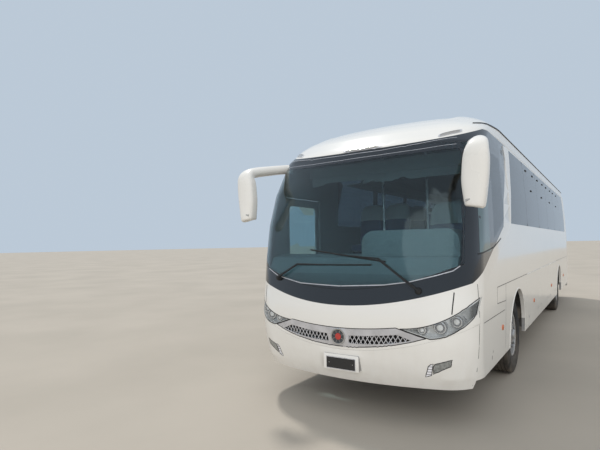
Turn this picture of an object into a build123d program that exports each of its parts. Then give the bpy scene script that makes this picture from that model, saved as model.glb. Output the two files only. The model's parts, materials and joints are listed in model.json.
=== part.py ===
# Twelve metre charter bus, built as separate panels, running gear and cabin pieces.
# Millimetres. +Z is up, the nose faces -Y and the driver's side is +X. The origin lies
# on the ground, midway between nose and tail.

from build123d import *
from math import atan2, cos, radians, sin, sqrt
import os

os.makedirs("parts", exist_ok=True)

# Overall sizes
LENGTH = 12300.0
BODY_HALF = 1300.0  # half the width at the waist
NOSE = -LENGTH / 2
TAIL = LENGTH / 2
WALL = 45.0  # side wall, roof, front and rear panels
SKIN = 8.0  # flush bonded glass
GLASS_BED = 0.5  # glue line behind the glass
LENS_T = 30.0  # grille, doors, rear lamps
JOIN = 0.4  # between fixed panels
SEAM = 8.0  # round every door and hatch
FIT = 0.4  # between fixed pieces that stand against each other

# Plan shape of the body
FRONT_RADIUS = 3100.0
REAR_CORNER = 220.0

# Body sections from the sill up: height, half width, how far the nose and the tail stand
# back, plan radius of the front corner, and how much of the wall is taken downwards.
SECTIONS = [
    # height, half_width, nose_back, tail_back, corner, crown
    (365.0, 1258.0, 165.0, 75.0, 450.0, 0.0),
    (480.0, 1268.0, 90.0, 30.0, 450.0, 0.0),
    (640.0, 1276.0, 42.0, 10.0, 450.0, 0.0),
    (800.0, 1283.0, 12.0, 0.0, 450.0, 0.0),
    (1000.0, 1291.0, 0.0, 0.0, 450.0, 0.0),
    (1150.0, 1297.0, 15.0, 0.0, 450.0, 0.0),
    (1270.0, BODY_HALF, 40.0, 5.0, 450.0, 0.0),
    (1600.0, BODY_HALF, 75.0, 20.0, 450.0, 0.0),
    (2010.0, BODY_HALF, 150.0, 45.0, 450.0, 0.0),
    (2400.0, 1291.0, 285.0, 75.0, 460.0, 0.0),
    (2845.0, 1262.0, 550.0, 118.0, 480.0, 0.0),
    (3035.0, 1242.0, 815.0, 152.0, 500.0, 0.1),
    (3100.0, 1216.0, 930.0, 180.0, 520.0, 0.4),
    (3190.0, 1150.0, 1130.0, 240.0, 540.0, 0.7),
    (3270.0, 1060.0, 1360.0, 320.0, 560.0, 0.9),
    (3340.0, 930.0, 1640.0, 430.0, 560.0, 1.0),
    (3400.0, 760.0, 2000.0, 580.0, 520.0, 1.0),
    (3440.0, 560.0, 2400.0, 760.0, 420.0, 1.0),
]
ROOF_TOP = SECTIONS[-1][0]
BODY_FLOOR = SECTIONS[0][0]

# Heights along the side
SKIRT_Z = 445.0
WAIST_Z = 1267.0  # top of the luggage doors
SILL_Z = 1990.0
HEADER_Z = 3020.0

# Running gear
TYRE_R = 505.0
TYRE_W = 290.0
WHEEL_X = 1075.0  # middle of the front and of the outer rear tyre
TWIN_PITCH = 330.0
FRONT_AXLE_Y = NOSE + 2690.0
WHEELBASE = 6400.0
REAR_AXLE_Y = FRONT_AXLE_Y + WHEELBASE
ARCH_R = 610.0
LINER_R = 628.0
LINER_T = 10.0
LINER_X = 560.0  # inner face of a wheel housing
LINER_FOOT_Z = 620.0
KINGPIN_X = 905.0
KINGPIN_R = 24.0
SPINDLE_R = 45.0
SHAFT_GAP = 0.4

# Floor and frame
DECK_Z = 1310.0
DECK_T = 40.0
PODIUM_Z = 1100.0  # raised floor under the driver
PLATFORM_Z = 900.0
PLATFORM_T = 40.0
BAY_FLOOR_Z = 500.0
BAY_FLOOR_T = 25.0
BULKHEAD_T = 20.0
RAIL_X = 385.0
RAIL_W = 76.0
RAIL_T = 9.0
RAIL_BOTTOM_Z = 600.0
RAIL_H = 240.0

# Luggage doors, counted from the front
BAY_DOORS = 3
BAY_FRONT_Y = NOSE + 3500.0
BAY_REAR_Y = NOSE + 8280.0

# Entrance door, on the -X side ahead of the front axle
DOOR_FRONT_Y = NOSE + 900.0
DOOR_REAR_Y = NOSE + 1760.0
DOOR_BOTTOM_Z = 460.0
DOOR_TOP_Z = 2420.0
POST_Y = NOSE + 985.0
POST_X = 1195.0
POST_R = 20.0
POST_FOOT_Z = 480.0
POST_TOP_Z = 1380.0
BEARING_T = 30.0
BEARING_EDGE = 15.0  # round the post
BEARING_FRONT = 60.0  # ahead of the door opening
JAMB_GAP = 5.0
DOOR_INNER_X = 1262.0
ARM_LENGTH = 560.0

# Glazing
PILLAR_Y = NOSE + 1850.0  # front edge of the wide white pillar
BAND_FRONT_Y = NOSE + 2250.0
BAND_REAR_Y = NOSE + 11300.0
PANES = 6
PANE_GAP = 8.0
PANE_POST = 110.0
PANE_MARGIN = 70.0


def plan_points(half_width, nose_back, tail_back, corner, inset):
    """Key points of the body's plan outline, moved inwards by inset."""
    big = FRONT_RADIUS - inset
    small = corner - inset
    width = half_width - inset
    front = NOSE + nose_back + inset
    rear = TAIL - tail_back - inset
    centre_x = width - small
    centre_y = front + big - sqrt((big - small) ** 2 - centre_x**2)
    middle_y = front + big
    share = big / (big - small)
    tangent = (centre_x * share, middle_y + (centre_y - middle_y) * share)
    turn = atan2(tangent[1] - centre_y, tangent[0] - centre_x) / 2
    bulge = (centre_x + small * cos(turn), centre_y + small * sin(turn))
    return width, front, rear, centre_y, tangent, bulge


def plan_face(section, inset=0.0):
    """The body's outline at one height as a face of lines and arcs."""
    height, half_width, nose_back, tail_back, corner, crown = section
    side = inset * (1 - crown)
    level = height - inset * crown
    width, front, rear, flank, tangent, bulge = plan_points(
        half_width, nose_back, tail_back, corner, side
    )
    back = REAR_CORNER - side
    bend = back * (1 - sqrt(0.5))
    with BuildSketch(Plane.XY.offset(level), mode=Mode.PRIVATE) as outline:
        with BuildLine():
            ThreePointArc((-tangent[0], tangent[1]), (0, front), tangent)
            ThreePointArc(tangent, bulge, (width, flank))
            Line((width, flank), (width, rear - back))
            ThreePointArc((width, rear - back), (width - bend, rear - bend), (width - back, rear))
            Line((width - back, rear), (back - width, rear))
            ThreePointArc((back - width, rear), (bend - width, rear - bend), (-width, rear - back))
            Line((-width, rear - back), (-width, flank))
            ThreePointArc((-width, flank), (-bulge[0], bulge[1]), (-tangent[0], tangent[1]))
        make_face()
    return outline.sketch.face()


def envelope(inset=0.0, below=0.0):
    """The whole body as one solid, shrunk by inset and run on below its sill."""
    with BuildPart(mode=Mode.PRIVATE) as hull:
        if below:
            foot = (BODY_FLOOR - below,) + SECTIONS[0][1:]
            add(plan_face(foot, inset))
        for section in SECTIONS:
            add(plan_face(section, inset))
        loft(ruled=True)
    return hull.part


def front_prism(sketch, depth=1200.0):
    """A front view outline pushed back through the nose."""
    with BuildPart(mode=Mode.PRIVATE) as prism:
        with BuildSketch(Plane.XZ.offset(100.0 - NOSE)):
            add(sketch)
        extrude(amount=-depth)
    return prism.part


def side_prism(sketch, near=0.0, far=1600.0):
    """A side view outline (y, z) pushed sideways from x = near to x = far."""
    with BuildPart(mode=Mode.PRIVATE) as prism:
        with BuildSketch(Plane.YZ.offset(near)):
            add(sketch)
        extrude(amount=far - near)
    return prism.part


def block(x0, x1, y0, y1, z0, z1):
    """A box between two corners."""
    with BuildPart(mode=Mode.PRIVATE) as solid:
        with Locations(((x0 + x1) / 2, (y0 + y1) / 2, (z0 + z1) / 2)):
            Box(abs(x1 - x0), abs(y1 - y0), abs(z1 - z0))
    return solid.part


def outline_yz(points):
    """A closed polygon."""
    with BuildSketch(mode=Mode.PRIVATE) as shape:
        with BuildLine():
            Polyline(*points, close=True)
        make_face()
    return shape.sketch


def rounded(x0, x1, y0, y1, radius):
    """A rectangle with rounded corners between two corners."""
    with BuildSketch(mode=Mode.PRIVATE) as shape:
        with Locations(((x0 + x1) / 2, (y0 + y1) / 2)):
            RectangleRounded(abs(x1 - x0), abs(y1 - y0), radius)
    return shape.sketch


def save(builder, name):
    """Label a finished piece and write it."""
    builder.part.label = name
    export_step(builder.part, f"parts/{name}.step")


# Body volumes that the panels are cut from
DROP = 100.0
outer = envelope()
cavity = envelope(WALL, DROP)
glass_core = envelope(SKIN, DROP)
recess_core = envelope(SKIN + GLASS_BED, DROP)
lens_core = envelope(LENS_T, DROP)
REACH = 1600.0  # past the body on either side


def panel(zone, core):
    """The layer of the body between its outer face and core, inside zone."""
    return (outer & zone) - core


# Where the front panels end, seen from the side
CAP_Z = 2820.0
REAR_PANEL = 320.0  # depth of the rear corner panels
MASK_BACK = [
    (NOSE + 500, 300),
    (NOSE + 500, 1300),
    (NOSE + 600, 1716),
    (NOSE + 700, 2200),
    (NOSE + 1010, CAP_Z),
]
front_zone = side_prism(
    outline_yz([(NOSE - 200, 300)] + MASK_BACK + [(NOSE - 200, CAP_Z)]), -REACH, REACH
)
side_zone = outline_yz(
    [(y + JOIN, z) for y, z in MASK_BACK]
    + [(PILLAR_Y, CAP_Z), (PILLAR_Y, HEADER_Z)]
    + [(TAIL - REAR_PANEL, HEADER_Z), (TAIL - REAR_PANEL, 300)]
)
front_panel = panel(front_zone, cavity)

# Windscreen, front view
SCREEN_HALF = 1185.0
SCREEN_BOTTOM = 1310.0
SCREEN_CORNER_Z = 1560.0
SCREEN_TOP = CAP_Z - 10.0


def screen_face(grow):
    """The windscreen seen from the front, grown by grow."""
    half = SCREEN_HALF + grow
    corner = SCREEN_CORNER_Z - grow
    top = SCREEN_TOP + grow
    with BuildSketch(mode=Mode.PRIVATE) as shape:
        with BuildLine():
            ThreePointArc((-half, corner), (0, SCREEN_BOTTOM - grow), (half, corner))
            Polyline((half, corner), (half, top), (-half, top), (-half, corner))
        make_face()
    return shape.sketch


# Bumper's upper lip, a sagging arc in front view
LIP_EDGE = [(-1330.0, 1010.0), (0.0, 705.0), (1330.0, 1010.0)]


def below_arc(edge, drop, floor_z):
    """Front view region between a sagging arc and floor_z."""
    left, middle, right = [(x, z - drop) for x, z in edge]
    with BuildSketch(mode=Mode.PRIVATE) as shape:
        with BuildLine():
            ThreePointArc(left, middle, right)
            Polyline(right, (right[0], floor_z), (left[0], floor_z), left)
        make_face()
    return shape.sketch


# Headlamp on the driver's side, front view
LAMP_DEPTH = 660.0  # back from 100 mm ahead of the nose
LAMP_INNER = (640.0, 955.0)
LAMP_LOW = (905.0, 868.0)
LAMP_LOW_BEND = (1140.0, 948.0)
LAMP_OUTER = (1272.0, 1090.0)
LAMP_TIP = (1293.0, 1240.0)
LAMP_TOP_BEND = (1150.0, 1116.0)


def lamp_face(side, grow):
    """Headlamp outline, mirrored by side and grown by grow."""
    points = [
        (side * x, z)
        for x, z in (LAMP_INNER, LAMP_LOW, LAMP_LOW_BEND, LAMP_OUTER, LAMP_TIP, LAMP_TOP_BEND)
    ]
    inner, low, low_bend, lamp_end, tip, top_bend = points
    with BuildSketch(mode=Mode.PRIVATE) as shape:
        with BuildLine():
            Line(inner, low)
            ThreePointArc(low, low_bend, lamp_end)
            Line(lamp_end, tip)
            ThreePointArc(tip, top_bend, inner)
        make_face()
        if grow:
            offset(amount=grow)
    return shape.sketch


# Lamps in the bumper, driver's side, front view: fog lamp and running light
BUMPER_LAMPS = {
    "fog": [(928, 631), (1078, 678), (1060, 612), (903, 530)],
    "running": [(869, 607), (915, 635), (888, 519), (833, 499)],
}


def bumper_lamp(name, side, grow):
    """One bumper lamp's outline, mirrored by side and grown by grow."""
    with BuildSketch(mode=Mode.PRIVATE) as shape:
        with BuildLine():
            Polyline(*[(side * x, z) for x, z in BUMPER_LAMPS[name]], close=True)
        make_face()
        fillet(shape.vertices(), 10)
        if grow:
            offset(amount=grow)
    return shape.sketch


def nose_y(x, z):
    """Where the skin of the nose lies at x and height z."""
    upper = next(index for index, row in enumerate(SECTIONS) if row[0] > z)
    below, above = SECTIONS[upper - 1], SECTIONS[upper]
    share = (z - below[0]) / (above[0] - below[0])
    half_width, nose_back, _, corner = [
        low + share * (high - low) for low, high in zip(below[1:5], above[1:5])
    ]
    _, front, _, flank, tangent, _ = plan_points(half_width, nose_back, 0.0, corner, 0.0)
    if abs(x) < tangent[0]:
        return front + FRONT_RADIUS - sqrt(FRONT_RADIUS**2 - x**2)
    return flank - sqrt(corner**2 - (abs(x) - half_width + corner) ** 2)


# Grille, front view
GRILLE_TOP = [(-600.0, 962.0), (0.0, 926.0), (600.0, 962.0)]
GRILLE_BOTTOM = [(-870.0, 872.0), (0.0, 732.0), (870.0, 872.0)]


def grille_face(grow):
    """The grille seen from the front."""
    with BuildSketch(mode=Mode.PRIVATE) as shape:
        with BuildLine():
            ThreePointArc(*GRILLE_TOP)
            Line(GRILLE_TOP[2], GRILLE_BOTTOM[2])
            ThreePointArc(*GRILLE_BOTTOM[::-1])
            Line(GRILLE_BOTTOM[0], GRILLE_TOP[0])
        make_face()
        if grow:
            offset(amount=grow, kind=Kind.INTERSECTION)
    return shape.sketch


# Grille openings and mesh, driver's side, front view
GRILLE_OPEN_TOP = [(122.0, 856.0), (370.0, 870.0), (612.0, 897.0)]
GRILLE_OPEN_FOOT = [(738.0, 848.0), (430.0, 794.0), (116.0, 780.0)]
MESH_PITCH = 46.0
MESH_BAR = 8.0
MESH_ANGLE = 32.0
MESH_DEPTH = 12.0  # behind the skin
MESH_REACH = 600.0  # back from 100 mm ahead of the nose
BADGE_X = 0.0
BADGE_Z = 835.0
BADGE_R = 84.0
BADGE_RING = 14.0
BADGE_PROUD = 6.0


def grille_opening(side, grow):
    """One opening of the grille, mirrored by side and grown by grow."""
    top = [(side * x, z) for x, z in GRILLE_OPEN_TOP]
    foot = [(side * x, z) for x, z in GRILLE_OPEN_FOOT]
    with BuildSketch(mode=Mode.PRIVATE) as shape:
        with BuildLine():
            ThreePointArc(*top)
            Line(top[2], foot[0])
            ThreePointArc(*foot)
            Line(foot[2], top[0])
        make_face()
        if grow:
            offset(amount=grow, kind=Kind.INTERSECTION)
    return shape.sketch


def grille_mesh(side):
    """Crossing bars that fill one opening and reach into the frame round it."""
    middle_x = side * (GRILLE_OPEN_TOP[0][0] + GRILLE_OPEN_FOOT[0][0]) / 2
    middle_z = (GRILLE_OPEN_TOP[2][1] + GRILLE_OPEN_FOOT[2][1]) / 2
    reach = GRILLE_OPEN_FOOT[0][0] - GRILLE_OPEN_TOP[0][0]
    count = int(reach / MESH_PITCH) + 3
    with BuildSketch(mode=Mode.PRIVATE) as shape:
        for lean in (-MESH_ANGLE, MESH_ANGLE):
            for index in range(count):
                along = (index - (count - 1) / 2) * MESH_PITCH
                with Locations((middle_x + along, middle_z)):
                    Rectangle(MESH_BAR, reach / 2, rotation=lean)
        add(grille_opening(side, MESH_BAR / 2), mode=Mode.INTERSECT)
    return shape.sketch


# Front panels
with BuildPart() as front_mask:
    add(front_panel)
    add(front_prism(screen_face(JOIN)), mode=Mode.SUBTRACT)
    add(front_prism(below_arc(LIP_EDGE, -JOIN, 300)), mode=Mode.SUBTRACT)
    add(front_prism(grille_face(JOIN)), mode=Mode.SUBTRACT)
    for side in (-1, 1):
        add(front_prism(lamp_face(side, JOIN), LAMP_DEPTH + JOIN), mode=Mode.SUBTRACT)
save(front_mask, "front_mask")

# Front bumper with its bumper lamps and the number plate's bracket
PLATE_X = (-190.0, 215.0)
PLATE_Z = (490.0, 650.0)
PLATE_PROUD = 10.0
with BuildPart() as bumpers:
    add(front_panel & front_prism(below_arc(LIP_EDGE, 0, 300)))
    add(front_prism(grille_face(JOIN)), mode=Mode.SUBTRACT)
    for side in (-1, 1):
        add(front_prism(lamp_face(side, JOIN), LAMP_DEPTH + JOIN), mode=Mode.SUBTRACT)
        for name in BUMPER_LAMPS:
            add(front_prism(bumper_lamp(name, side, JOIN), LAMP_DEPTH), mode=Mode.SUBTRACT)
    with BuildSketch(Plane.XZ.offset(-nose_y(0, PLATE_Z[1]) + PLATE_PROUD)):
        add(rounded(*PLATE_X, *PLATE_Z, 12))
    extrude(amount=-(nose_y(0, PLATE_Z[0]) - nose_y(0, PLATE_Z[1]) + PLATE_PROUD + WALL / 2))

with BuildPart() as windscreen:
    add(panel(front_prism(screen_face(0)), glass_core))
save(windscreen, "windscreen")

# Headlamps: a deep housing with three round lamps in it, behind a clear cover
HOUSING_DEPTH = 110.0
HOUSING_T = 8.0
COVER_T = 4.0
LAMP_ROOM = 10.0  # between a round lamp and the cover
LAMP_UNITS = [
    # x, z, radius
    (832.0, 950.0, 38.0),
    (985.0, 973.0, 56.0),
    (1116.0, 1022.0, 50.0),
]
housing_core = envelope(HOUSING_DEPTH, DROP)
floor_core = envelope(HOUSING_DEPTH - HOUSING_T, DROP)
cover_core = envelope(COVER_T, DROP)


def round_lamp(x, z, radius, side):
    """A bowl with a domed lens, facing forwards, closed at the back."""
    front = nose_y(x + radius, z) + COVER_T + LAMP_ROOM
    with BuildPart(mode=Mode.PRIVATE) as unit:
        with Locations(Location((side * x, front + HOUSING_DEPTH / 2, z), (90, 0, 0))):
            Cylinder(radius, HOUSING_DEPTH)
        with Locations((side * x, front, z)):
            Sphere(0.86 * radius, mode=Mode.SUBTRACT)
        with Locations(Location((side * x, front + 0.7 * radius, z), (90, 0, 0))):
            Cylinder(0.4 * radius, 0.7 * radius)
        with Locations((side * x, front + 0.42 * radius, z)):
            Sphere(0.4 * radius)
    return unit.part


with BuildPart() as headlamps:
    for side in (-1, 1):
        box = (outer & front_prism(lamp_face(side, 0), LAMP_DEPTH)) - housing_core
        room = (outer & front_prism(lamp_face(side, -HOUSING_T), LAMP_DEPTH)) - floor_core
        housing = box - room
        for x, z, radius in LAMP_UNITS:
            housing = housing + (round_lamp(x, z, radius, side) & room)
        add(housing)
        add(panel(front_prism(lamp_face(side, -HOUSING_T - JOIN), LAMP_DEPTH), cover_core))
        for name in BUMPER_LAMPS:
            add(panel(front_prism(bumper_lamp(name, side, 0), LAMP_DEPTH), lens_core))
save(headlamps, "headlamps")

# Grille: frame, mesh and round badge in one piece
mesh_y = nose_y(0, BADGE_Z) + MESH_DEPTH + FRONT_RADIUS  # middle of the mesh's bow
with BuildPart() as mesh_bow:
    with Locations((0, mesh_y, BADGE_Z)):
        Cylinder(FRONT_RADIUS, 2 * BADGE_R + LENS_T)
        Cylinder(FRONT_RADIUS - MESH_BAR, 2 * BADGE_R + 2 * LENS_T, mode=Mode.SUBTRACT)
badge_front = nose_y(BADGE_X, BADGE_Z) - BADGE_PROUD
with BuildPart() as grille:
    add(panel(front_prism(grille_face(0)), lens_core))
    for side in (-1, 1):
        add(front_prism(grille_opening(side, 0)), mode=Mode.SUBTRACT)
    for side in (-1, 1):
        add(mesh_bow.part & front_prism(grille_mesh(side), MESH_REACH))
    with Locations(Location((BADGE_X, badge_front + LENS_T / 2, BADGE_Z), (90, 0, 0))):
        Cylinder(BADGE_R, LENS_T)
    with Locations(Location((BADGE_X, badge_front, BADGE_Z), (90, 0, 0))):
        Cylinder(BADGE_R - BADGE_RING, BADGE_RING, mode=Mode.SUBTRACT)
save(grille, "grille")

# Roof with its front cap, one moulding down to the glazing
with BuildPart() as roof_shell:
    top = block(-REACH, REACH, NOSE - 100, TAIL + 100, HEADER_Z + JOIN, ROOF_TOP + 100)
    add(panel(top, cavity))
    cap = block(-REACH, REACH, NOSE - 100, PILLAR_Y - JOIN, CAP_Z + JOIN, HEADER_Z + 2 * JOIN)
    add(panel(cap, cavity))
save(roof_shell, "roof_shell")

# Side walls with their windows, arches and openings
PANE_TOP = HEADER_Z - 20.0
PANE_CORNER = 60.0
DRIVER_WINDOW = [
    (NOSE + 1180, 1800), (NOSE + 1730, 1985), (NOSE + 1800, 2040), (NOSE + 1800, 2760),
    (NOSE + 1180, 2760),
]


def pane_span(index):
    """Front and rear edge of one side pane."""
    pitch = (BAND_REAR_Y - BAND_FRONT_Y) / PANES
    start = BAND_FRONT_Y + index * pitch
    return start + PANE_GAP / 2, start + pitch - PANE_GAP / 2


def side_span(side):
    """The x range that holds one side wall."""
    return sorted((side * 1080.0, side * 1400.0))


def arch_cut(side):
    """Both wheel arches of one side."""
    near, far = side_span(side)
    with BuildPart(mode=Mode.PRIVATE) as arches:
        for axle in (FRONT_AXLE_Y, REAR_AXLE_Y):
            with Locations(Location(((near + far) / 2, axle, TYRE_R), (0, 90, 0))):
                Cylinder(ARCH_R, far - near)
    return arches.part


def post_bearing(level):
    """Bracket on the front door jamb that holds the swing post."""
    reach = POST_R + BEARING_EDGE
    front = DOOR_FRONT_Y - BEARING_FRONT
    heights = (level - BEARING_T / 2, level + BEARING_T / 2)
    with BuildPart(mode=Mode.PRIVATE) as bearing:
        add(block(-DOOR_INNER_X, reach - POST_X, front, DOOR_FRONT_Y - JAMB_GAP, *heights))
        add(block(-POST_X - reach, reach - POST_X, front, POST_Y + reach, *heights))
        with Locations((-POST_X, POST_Y, level)):
            Cylinder(POST_R + SHAFT_GAP, 2 * BEARING_T, mode=Mode.SUBTRACT)
    return bearing.part


def side_wall(side):
    """One side wall."""
    near, far = side_span(side)
    with BuildPart(mode=Mode.PRIVATE) as wall:
        add(panel(side_prism(side_zone, near, far), cavity))
        add(block(near, far, NOSE, TAIL, 300, SKIRT_Z), mode=Mode.SUBTRACT)
        add(arch_cut(side), mode=Mode.SUBTRACT)
        add(front_prism(lamp_face(side, JOIN), LAMP_DEPTH + JOIN), mode=Mode.SUBTRACT)
        add(block(near, far, BAY_FRONT_Y, BAY_REAR_Y, 300, WAIST_Z), mode=Mode.SUBTRACT)
        band = rounded(BAND_FRONT_Y, BAND_REAR_Y, SILL_Z, PANE_TOP, PANE_CORNER)
        add(panel(side_prism(band, near, far), recess_core), mode=Mode.SUBTRACT)
        for index in range(PANES):
            first, last = pane_span(index)
            hole = rounded(
                first + PANE_POST / 2,
                last - PANE_POST / 2,
                SILL_Z + PANE_MARGIN,
                PANE_TOP - PANE_MARGIN,
                PANE_CORNER - 20,
            )
            add(side_prism(hole, near, far), mode=Mode.SUBTRACT)
        if side > 0:
            add(side_prism(outline_yz(DRIVER_WINDOW), near, far), mode=Mode.SUBTRACT)
        else:
            add(
                block(near, far, DOOR_FRONT_Y, DOOR_REAR_Y, 300, DOOR_TOP_Z),
                mode=Mode.SUBTRACT,
            )
            for level in (POST_FOOT_Z + BEARING_T / 2, POST_TOP_Z - BEARING_T / 2):
                add(post_bearing(level))
    return wall.part


for side, word in ((1, "left"), (-1, "right")):
    with BuildPart() as wall_piece:
        add(side_wall(side))
    save(wall_piece, f"{word}_side_wall")

# Side panes and the driver's window
with BuildPart() as windows:
    for side in (-1, 1):
        near, far = side_span(side)
        for index in range(PANES):
            first, last = pane_span(index)
            pane = rounded(first, last, SILL_Z + JOIN, PANE_TOP - JOIN, PANE_CORNER)
            add(panel(side_prism(pane, near, far), glass_core))
    with BuildSketch(mode=Mode.PRIVATE) as light:
        add(outline_yz(DRIVER_WINDOW))
        offset(amount=-JOIN, kind=Kind.INTERSECTION)
    add(panel(side_prism(light.sketch, *side_span(1)), glass_core))

# Hinge rods: each lifting door turns on a rod in the seam over its top edge
HINGE_PROUD = 2.0  # axis outside the skin, so that the top edge clears the panel above
HINGE_R = SEAM / 2 - 0.3
LEAF_T = 3.0
SIDE_HINGE_X = BODY_HALF + HINGE_PROUD
SIDE_HINGE_Z = WAIST_Z - SEAM / 2

# Luggage doors, each hung from the waist rail
for side, word in ((1, "left"), (-1, "right")):
    near, far = side_span(side)
    for index in range(BAY_DOORS):
        pitch = (BAY_REAR_Y - BAY_FRONT_Y) / BAY_DOORS
        start = BAY_FRONT_Y + index * pitch
        with BuildPart() as bay_door:
            zone = block(
                near, far, start + SEAM / 2, start + pitch - SEAM / 2, SKIRT_Z, WAIST_Z - SEAM
            )
            add(panel(zone, lens_core))
            middle = (side * SIDE_HINGE_X, start + pitch / 2, SIDE_HINGE_Z)
            with Locations(Location(middle, (90, 0, 0))):
                Cylinder(HINGE_R, pitch - SEAM)
            leaf = sorted((side * (SIDE_HINGE_X - HINGE_R - LEAF_T), side * SIDE_HINGE_X))
            add(
                block(
                    *leaf, start + SEAM / 2, start + pitch - SEAM / 2,
                    SIDE_HINGE_Z - SEAM / 2 - LEAF_T, SIDE_HINGE_Z,
                )
            )
        save(bay_door, f"luggage_door_{word}_{index + 1}")

# Rear wall, bumper, engine hatch and rear window
REAR_DEPTH = 300.0  # of every cut through the rear wall
REAR_LIP_Z = 690.0
HATCH_HALF = 880.0
HATCH_BOTTOM_Z = 720.0
HATCH_TOP_Z = 1760.0
HATCH_CORNER = 60.0
REAR_HINGE_BACK = 29.5  # how far the skin stands in from the tail at the hatch's top edge
REAR_GLASS_HALF = 1050.0
REAR_GLASS_BOTTOM = 2030.0
REAR_GLASS_TOP = 2880.0
REAR_LAMP_X = 1000.0
REAR_LAMP_END = 1230.0
REAR_LAMP_BOTTOM = 850.0
REAR_LAMP_TOP = 1480.0
REAR_LAMP_CORNER = 50.0
REAR_GLASS_CORNER = 90.0


def rear_prism(sketch, depth):
    """A rear view outline pushed forwards through the tail."""
    with BuildPart(mode=Mode.PRIVATE) as prism:
        with BuildSketch(Plane.XZ.offset(-TAIL - 100)):
            add(sketch)
        extrude(amount=100 + depth)
    return prism.part


rear_zone = block(-REACH, REACH, TAIL - REAR_PANEL + JOIN, TAIL + 100, 300, HEADER_Z)
rear_panel = panel(rear_zone, cavity)
hatch_hole = rear_prism(
    rounded(-HATCH_HALF, HATCH_HALF, HATCH_BOTTOM_Z, HATCH_TOP_Z, HATCH_CORNER), REAR_DEPTH
)
glass_hole = rear_prism(
    rounded(-REAR_GLASS_HALF, REAR_GLASS_HALF, REAR_GLASS_BOTTOM, REAR_GLASS_TOP, REAR_GLASS_CORNER),
    REAR_DEPTH,
)
with BuildPart() as rear_wall:
    add(rear_panel & block(-REACH, REACH, 0, TAIL + 100, REAR_LIP_Z + JOIN, HEADER_Z))
    add(hatch_hole, mode=Mode.SUBTRACT)
    add(glass_hole, mode=Mode.SUBTRACT)
    for side in (-1, 1):
        lamp = rounded(
            side * (REAR_LAMP_X - JOIN), side * (REAR_LAMP_END + JOIN),
            REAR_LAMP_BOTTOM - JOIN, REAR_LAMP_TOP + JOIN, REAR_LAMP_CORNER,
        )
        add(rear_prism(lamp, REAR_DEPTH), mode=Mode.SUBTRACT)
save(rear_wall, "rear_wall")

with bumpers:
    add(rear_panel & block(-REACH, REACH, 0, TAIL + 100, 300, REAR_LIP_Z))
save(bumpers, "bumpers")

with BuildPart() as engine_hatch:
    lid = rounded(
        SEAM - HATCH_HALF, HATCH_HALF - SEAM,
        HATCH_BOTTOM_Z + SEAM, HATCH_TOP_Z - SEAM, HATCH_CORNER - SEAM,
    )
    add(panel(rear_prism(lid, REAR_DEPTH), lens_core))
    hatch_axis = (0, TAIL - REAR_HINGE_BACK + HINGE_PROUD, HATCH_TOP_Z - SEAM / 2)
    hatch_rod = 2 * (HATCH_HALF - HATCH_CORNER)
    with Locations(Location(hatch_axis, (0, 90, 0))):
        Cylinder(HINGE_R, hatch_rod)
    with Locations((0, hatch_axis[1] - LEAF_T, hatch_axis[2] - SEAM / 4 - LEAF_T / 2)):
        Box(hatch_rod, 2 * LEAF_T, SEAM / 2 + LEAF_T)
save(engine_hatch, "engine_hatch")

with windows:
    light = rounded(
        JOIN - REAR_GLASS_HALF, REAR_GLASS_HALF - JOIN,
        REAR_GLASS_BOTTOM + JOIN, REAR_GLASS_TOP - JOIN, REAR_GLASS_CORNER,
    )
    add(panel(rear_prism(light, REAR_DEPTH), glass_core))
save(windows, "windows")

# Tail lamps: three round lights a side, each a shallow bowl with a raised lens
REAR_LIGHT_R = 78.0
REAR_LIGHTS_Z = (960.0, 1165.0, 1370.0)
REAR_LIGHT_DEPTH = 20.0
REAR_LENS_R = 56.0
REAR_LENS_H = 12.0
with BuildPart() as tail_lamps:
    for side in (-1, 1):
        lamp = rounded(
            side * REAR_LAMP_X, side * REAR_LAMP_END, REAR_LAMP_BOTTOM, REAR_LAMP_TOP, REAR_LAMP_CORNER
        )
        add(panel(rear_prism(lamp, REAR_DEPTH), lens_core))
        for z in REAR_LIGHTS_Z:
            x = side * (REAR_LAMP_X + REAR_LAMP_END) / 2
            with Locations(Location((x, TAIL, z), (-90, 0, 0))):
                Cylinder(REAR_LIGHT_R, 2 * REAR_LIGHT_DEPTH, mode=Mode.SUBTRACT)
            with Locations(Location((x, TAIL + 2 - REAR_LIGHT_DEPTH, z), (-90, 0, 0))):
                Cone(REAR_LENS_R, REAR_LENS_R / 2, REAR_LENS_H)
save(tail_lamps, "tail_lamps")

# Entrance door: two lights, one above the other
DOOR_FRAME = 90.0
DOOR_LIGHTS = [
    # bottom, top
    (640.0, 1200.0),
    (1300.0, DOOR_TOP_Z - 110.0),
]
DOOR_LIGHT_CORNER = 60.0


def door_light(low, high, grow):
    """One light of the entrance door as a prism."""
    light = rounded(
        DOOR_FRONT_Y + DOOR_FRAME - grow, DOOR_REAR_Y - DOOR_FRAME + grow,
        low - grow, high + grow, DOOR_LIGHT_CORNER,
    )
    return side_prism(light, *side_span(-1))


with BuildPart() as entrance_door:
    near, far = side_span(-1)
    zone = block(
        near, far, DOOR_FRONT_Y + SEAM, DOOR_REAR_Y - SEAM, DOOR_BOTTOM_Z, DOOR_TOP_Z - SEAM
    )
    add(panel(zone, lens_core))
    for low, high in DOOR_LIGHTS:
        add(door_light(low, high, 0), mode=Mode.SUBTRACT)

with BuildPart() as door_glass:
    for low, high in DOOR_LIGHTS:
        add(panel(door_light(low, high, -JOIN), glass_core))
save(door_glass, "entrance_door_glass")

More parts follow.
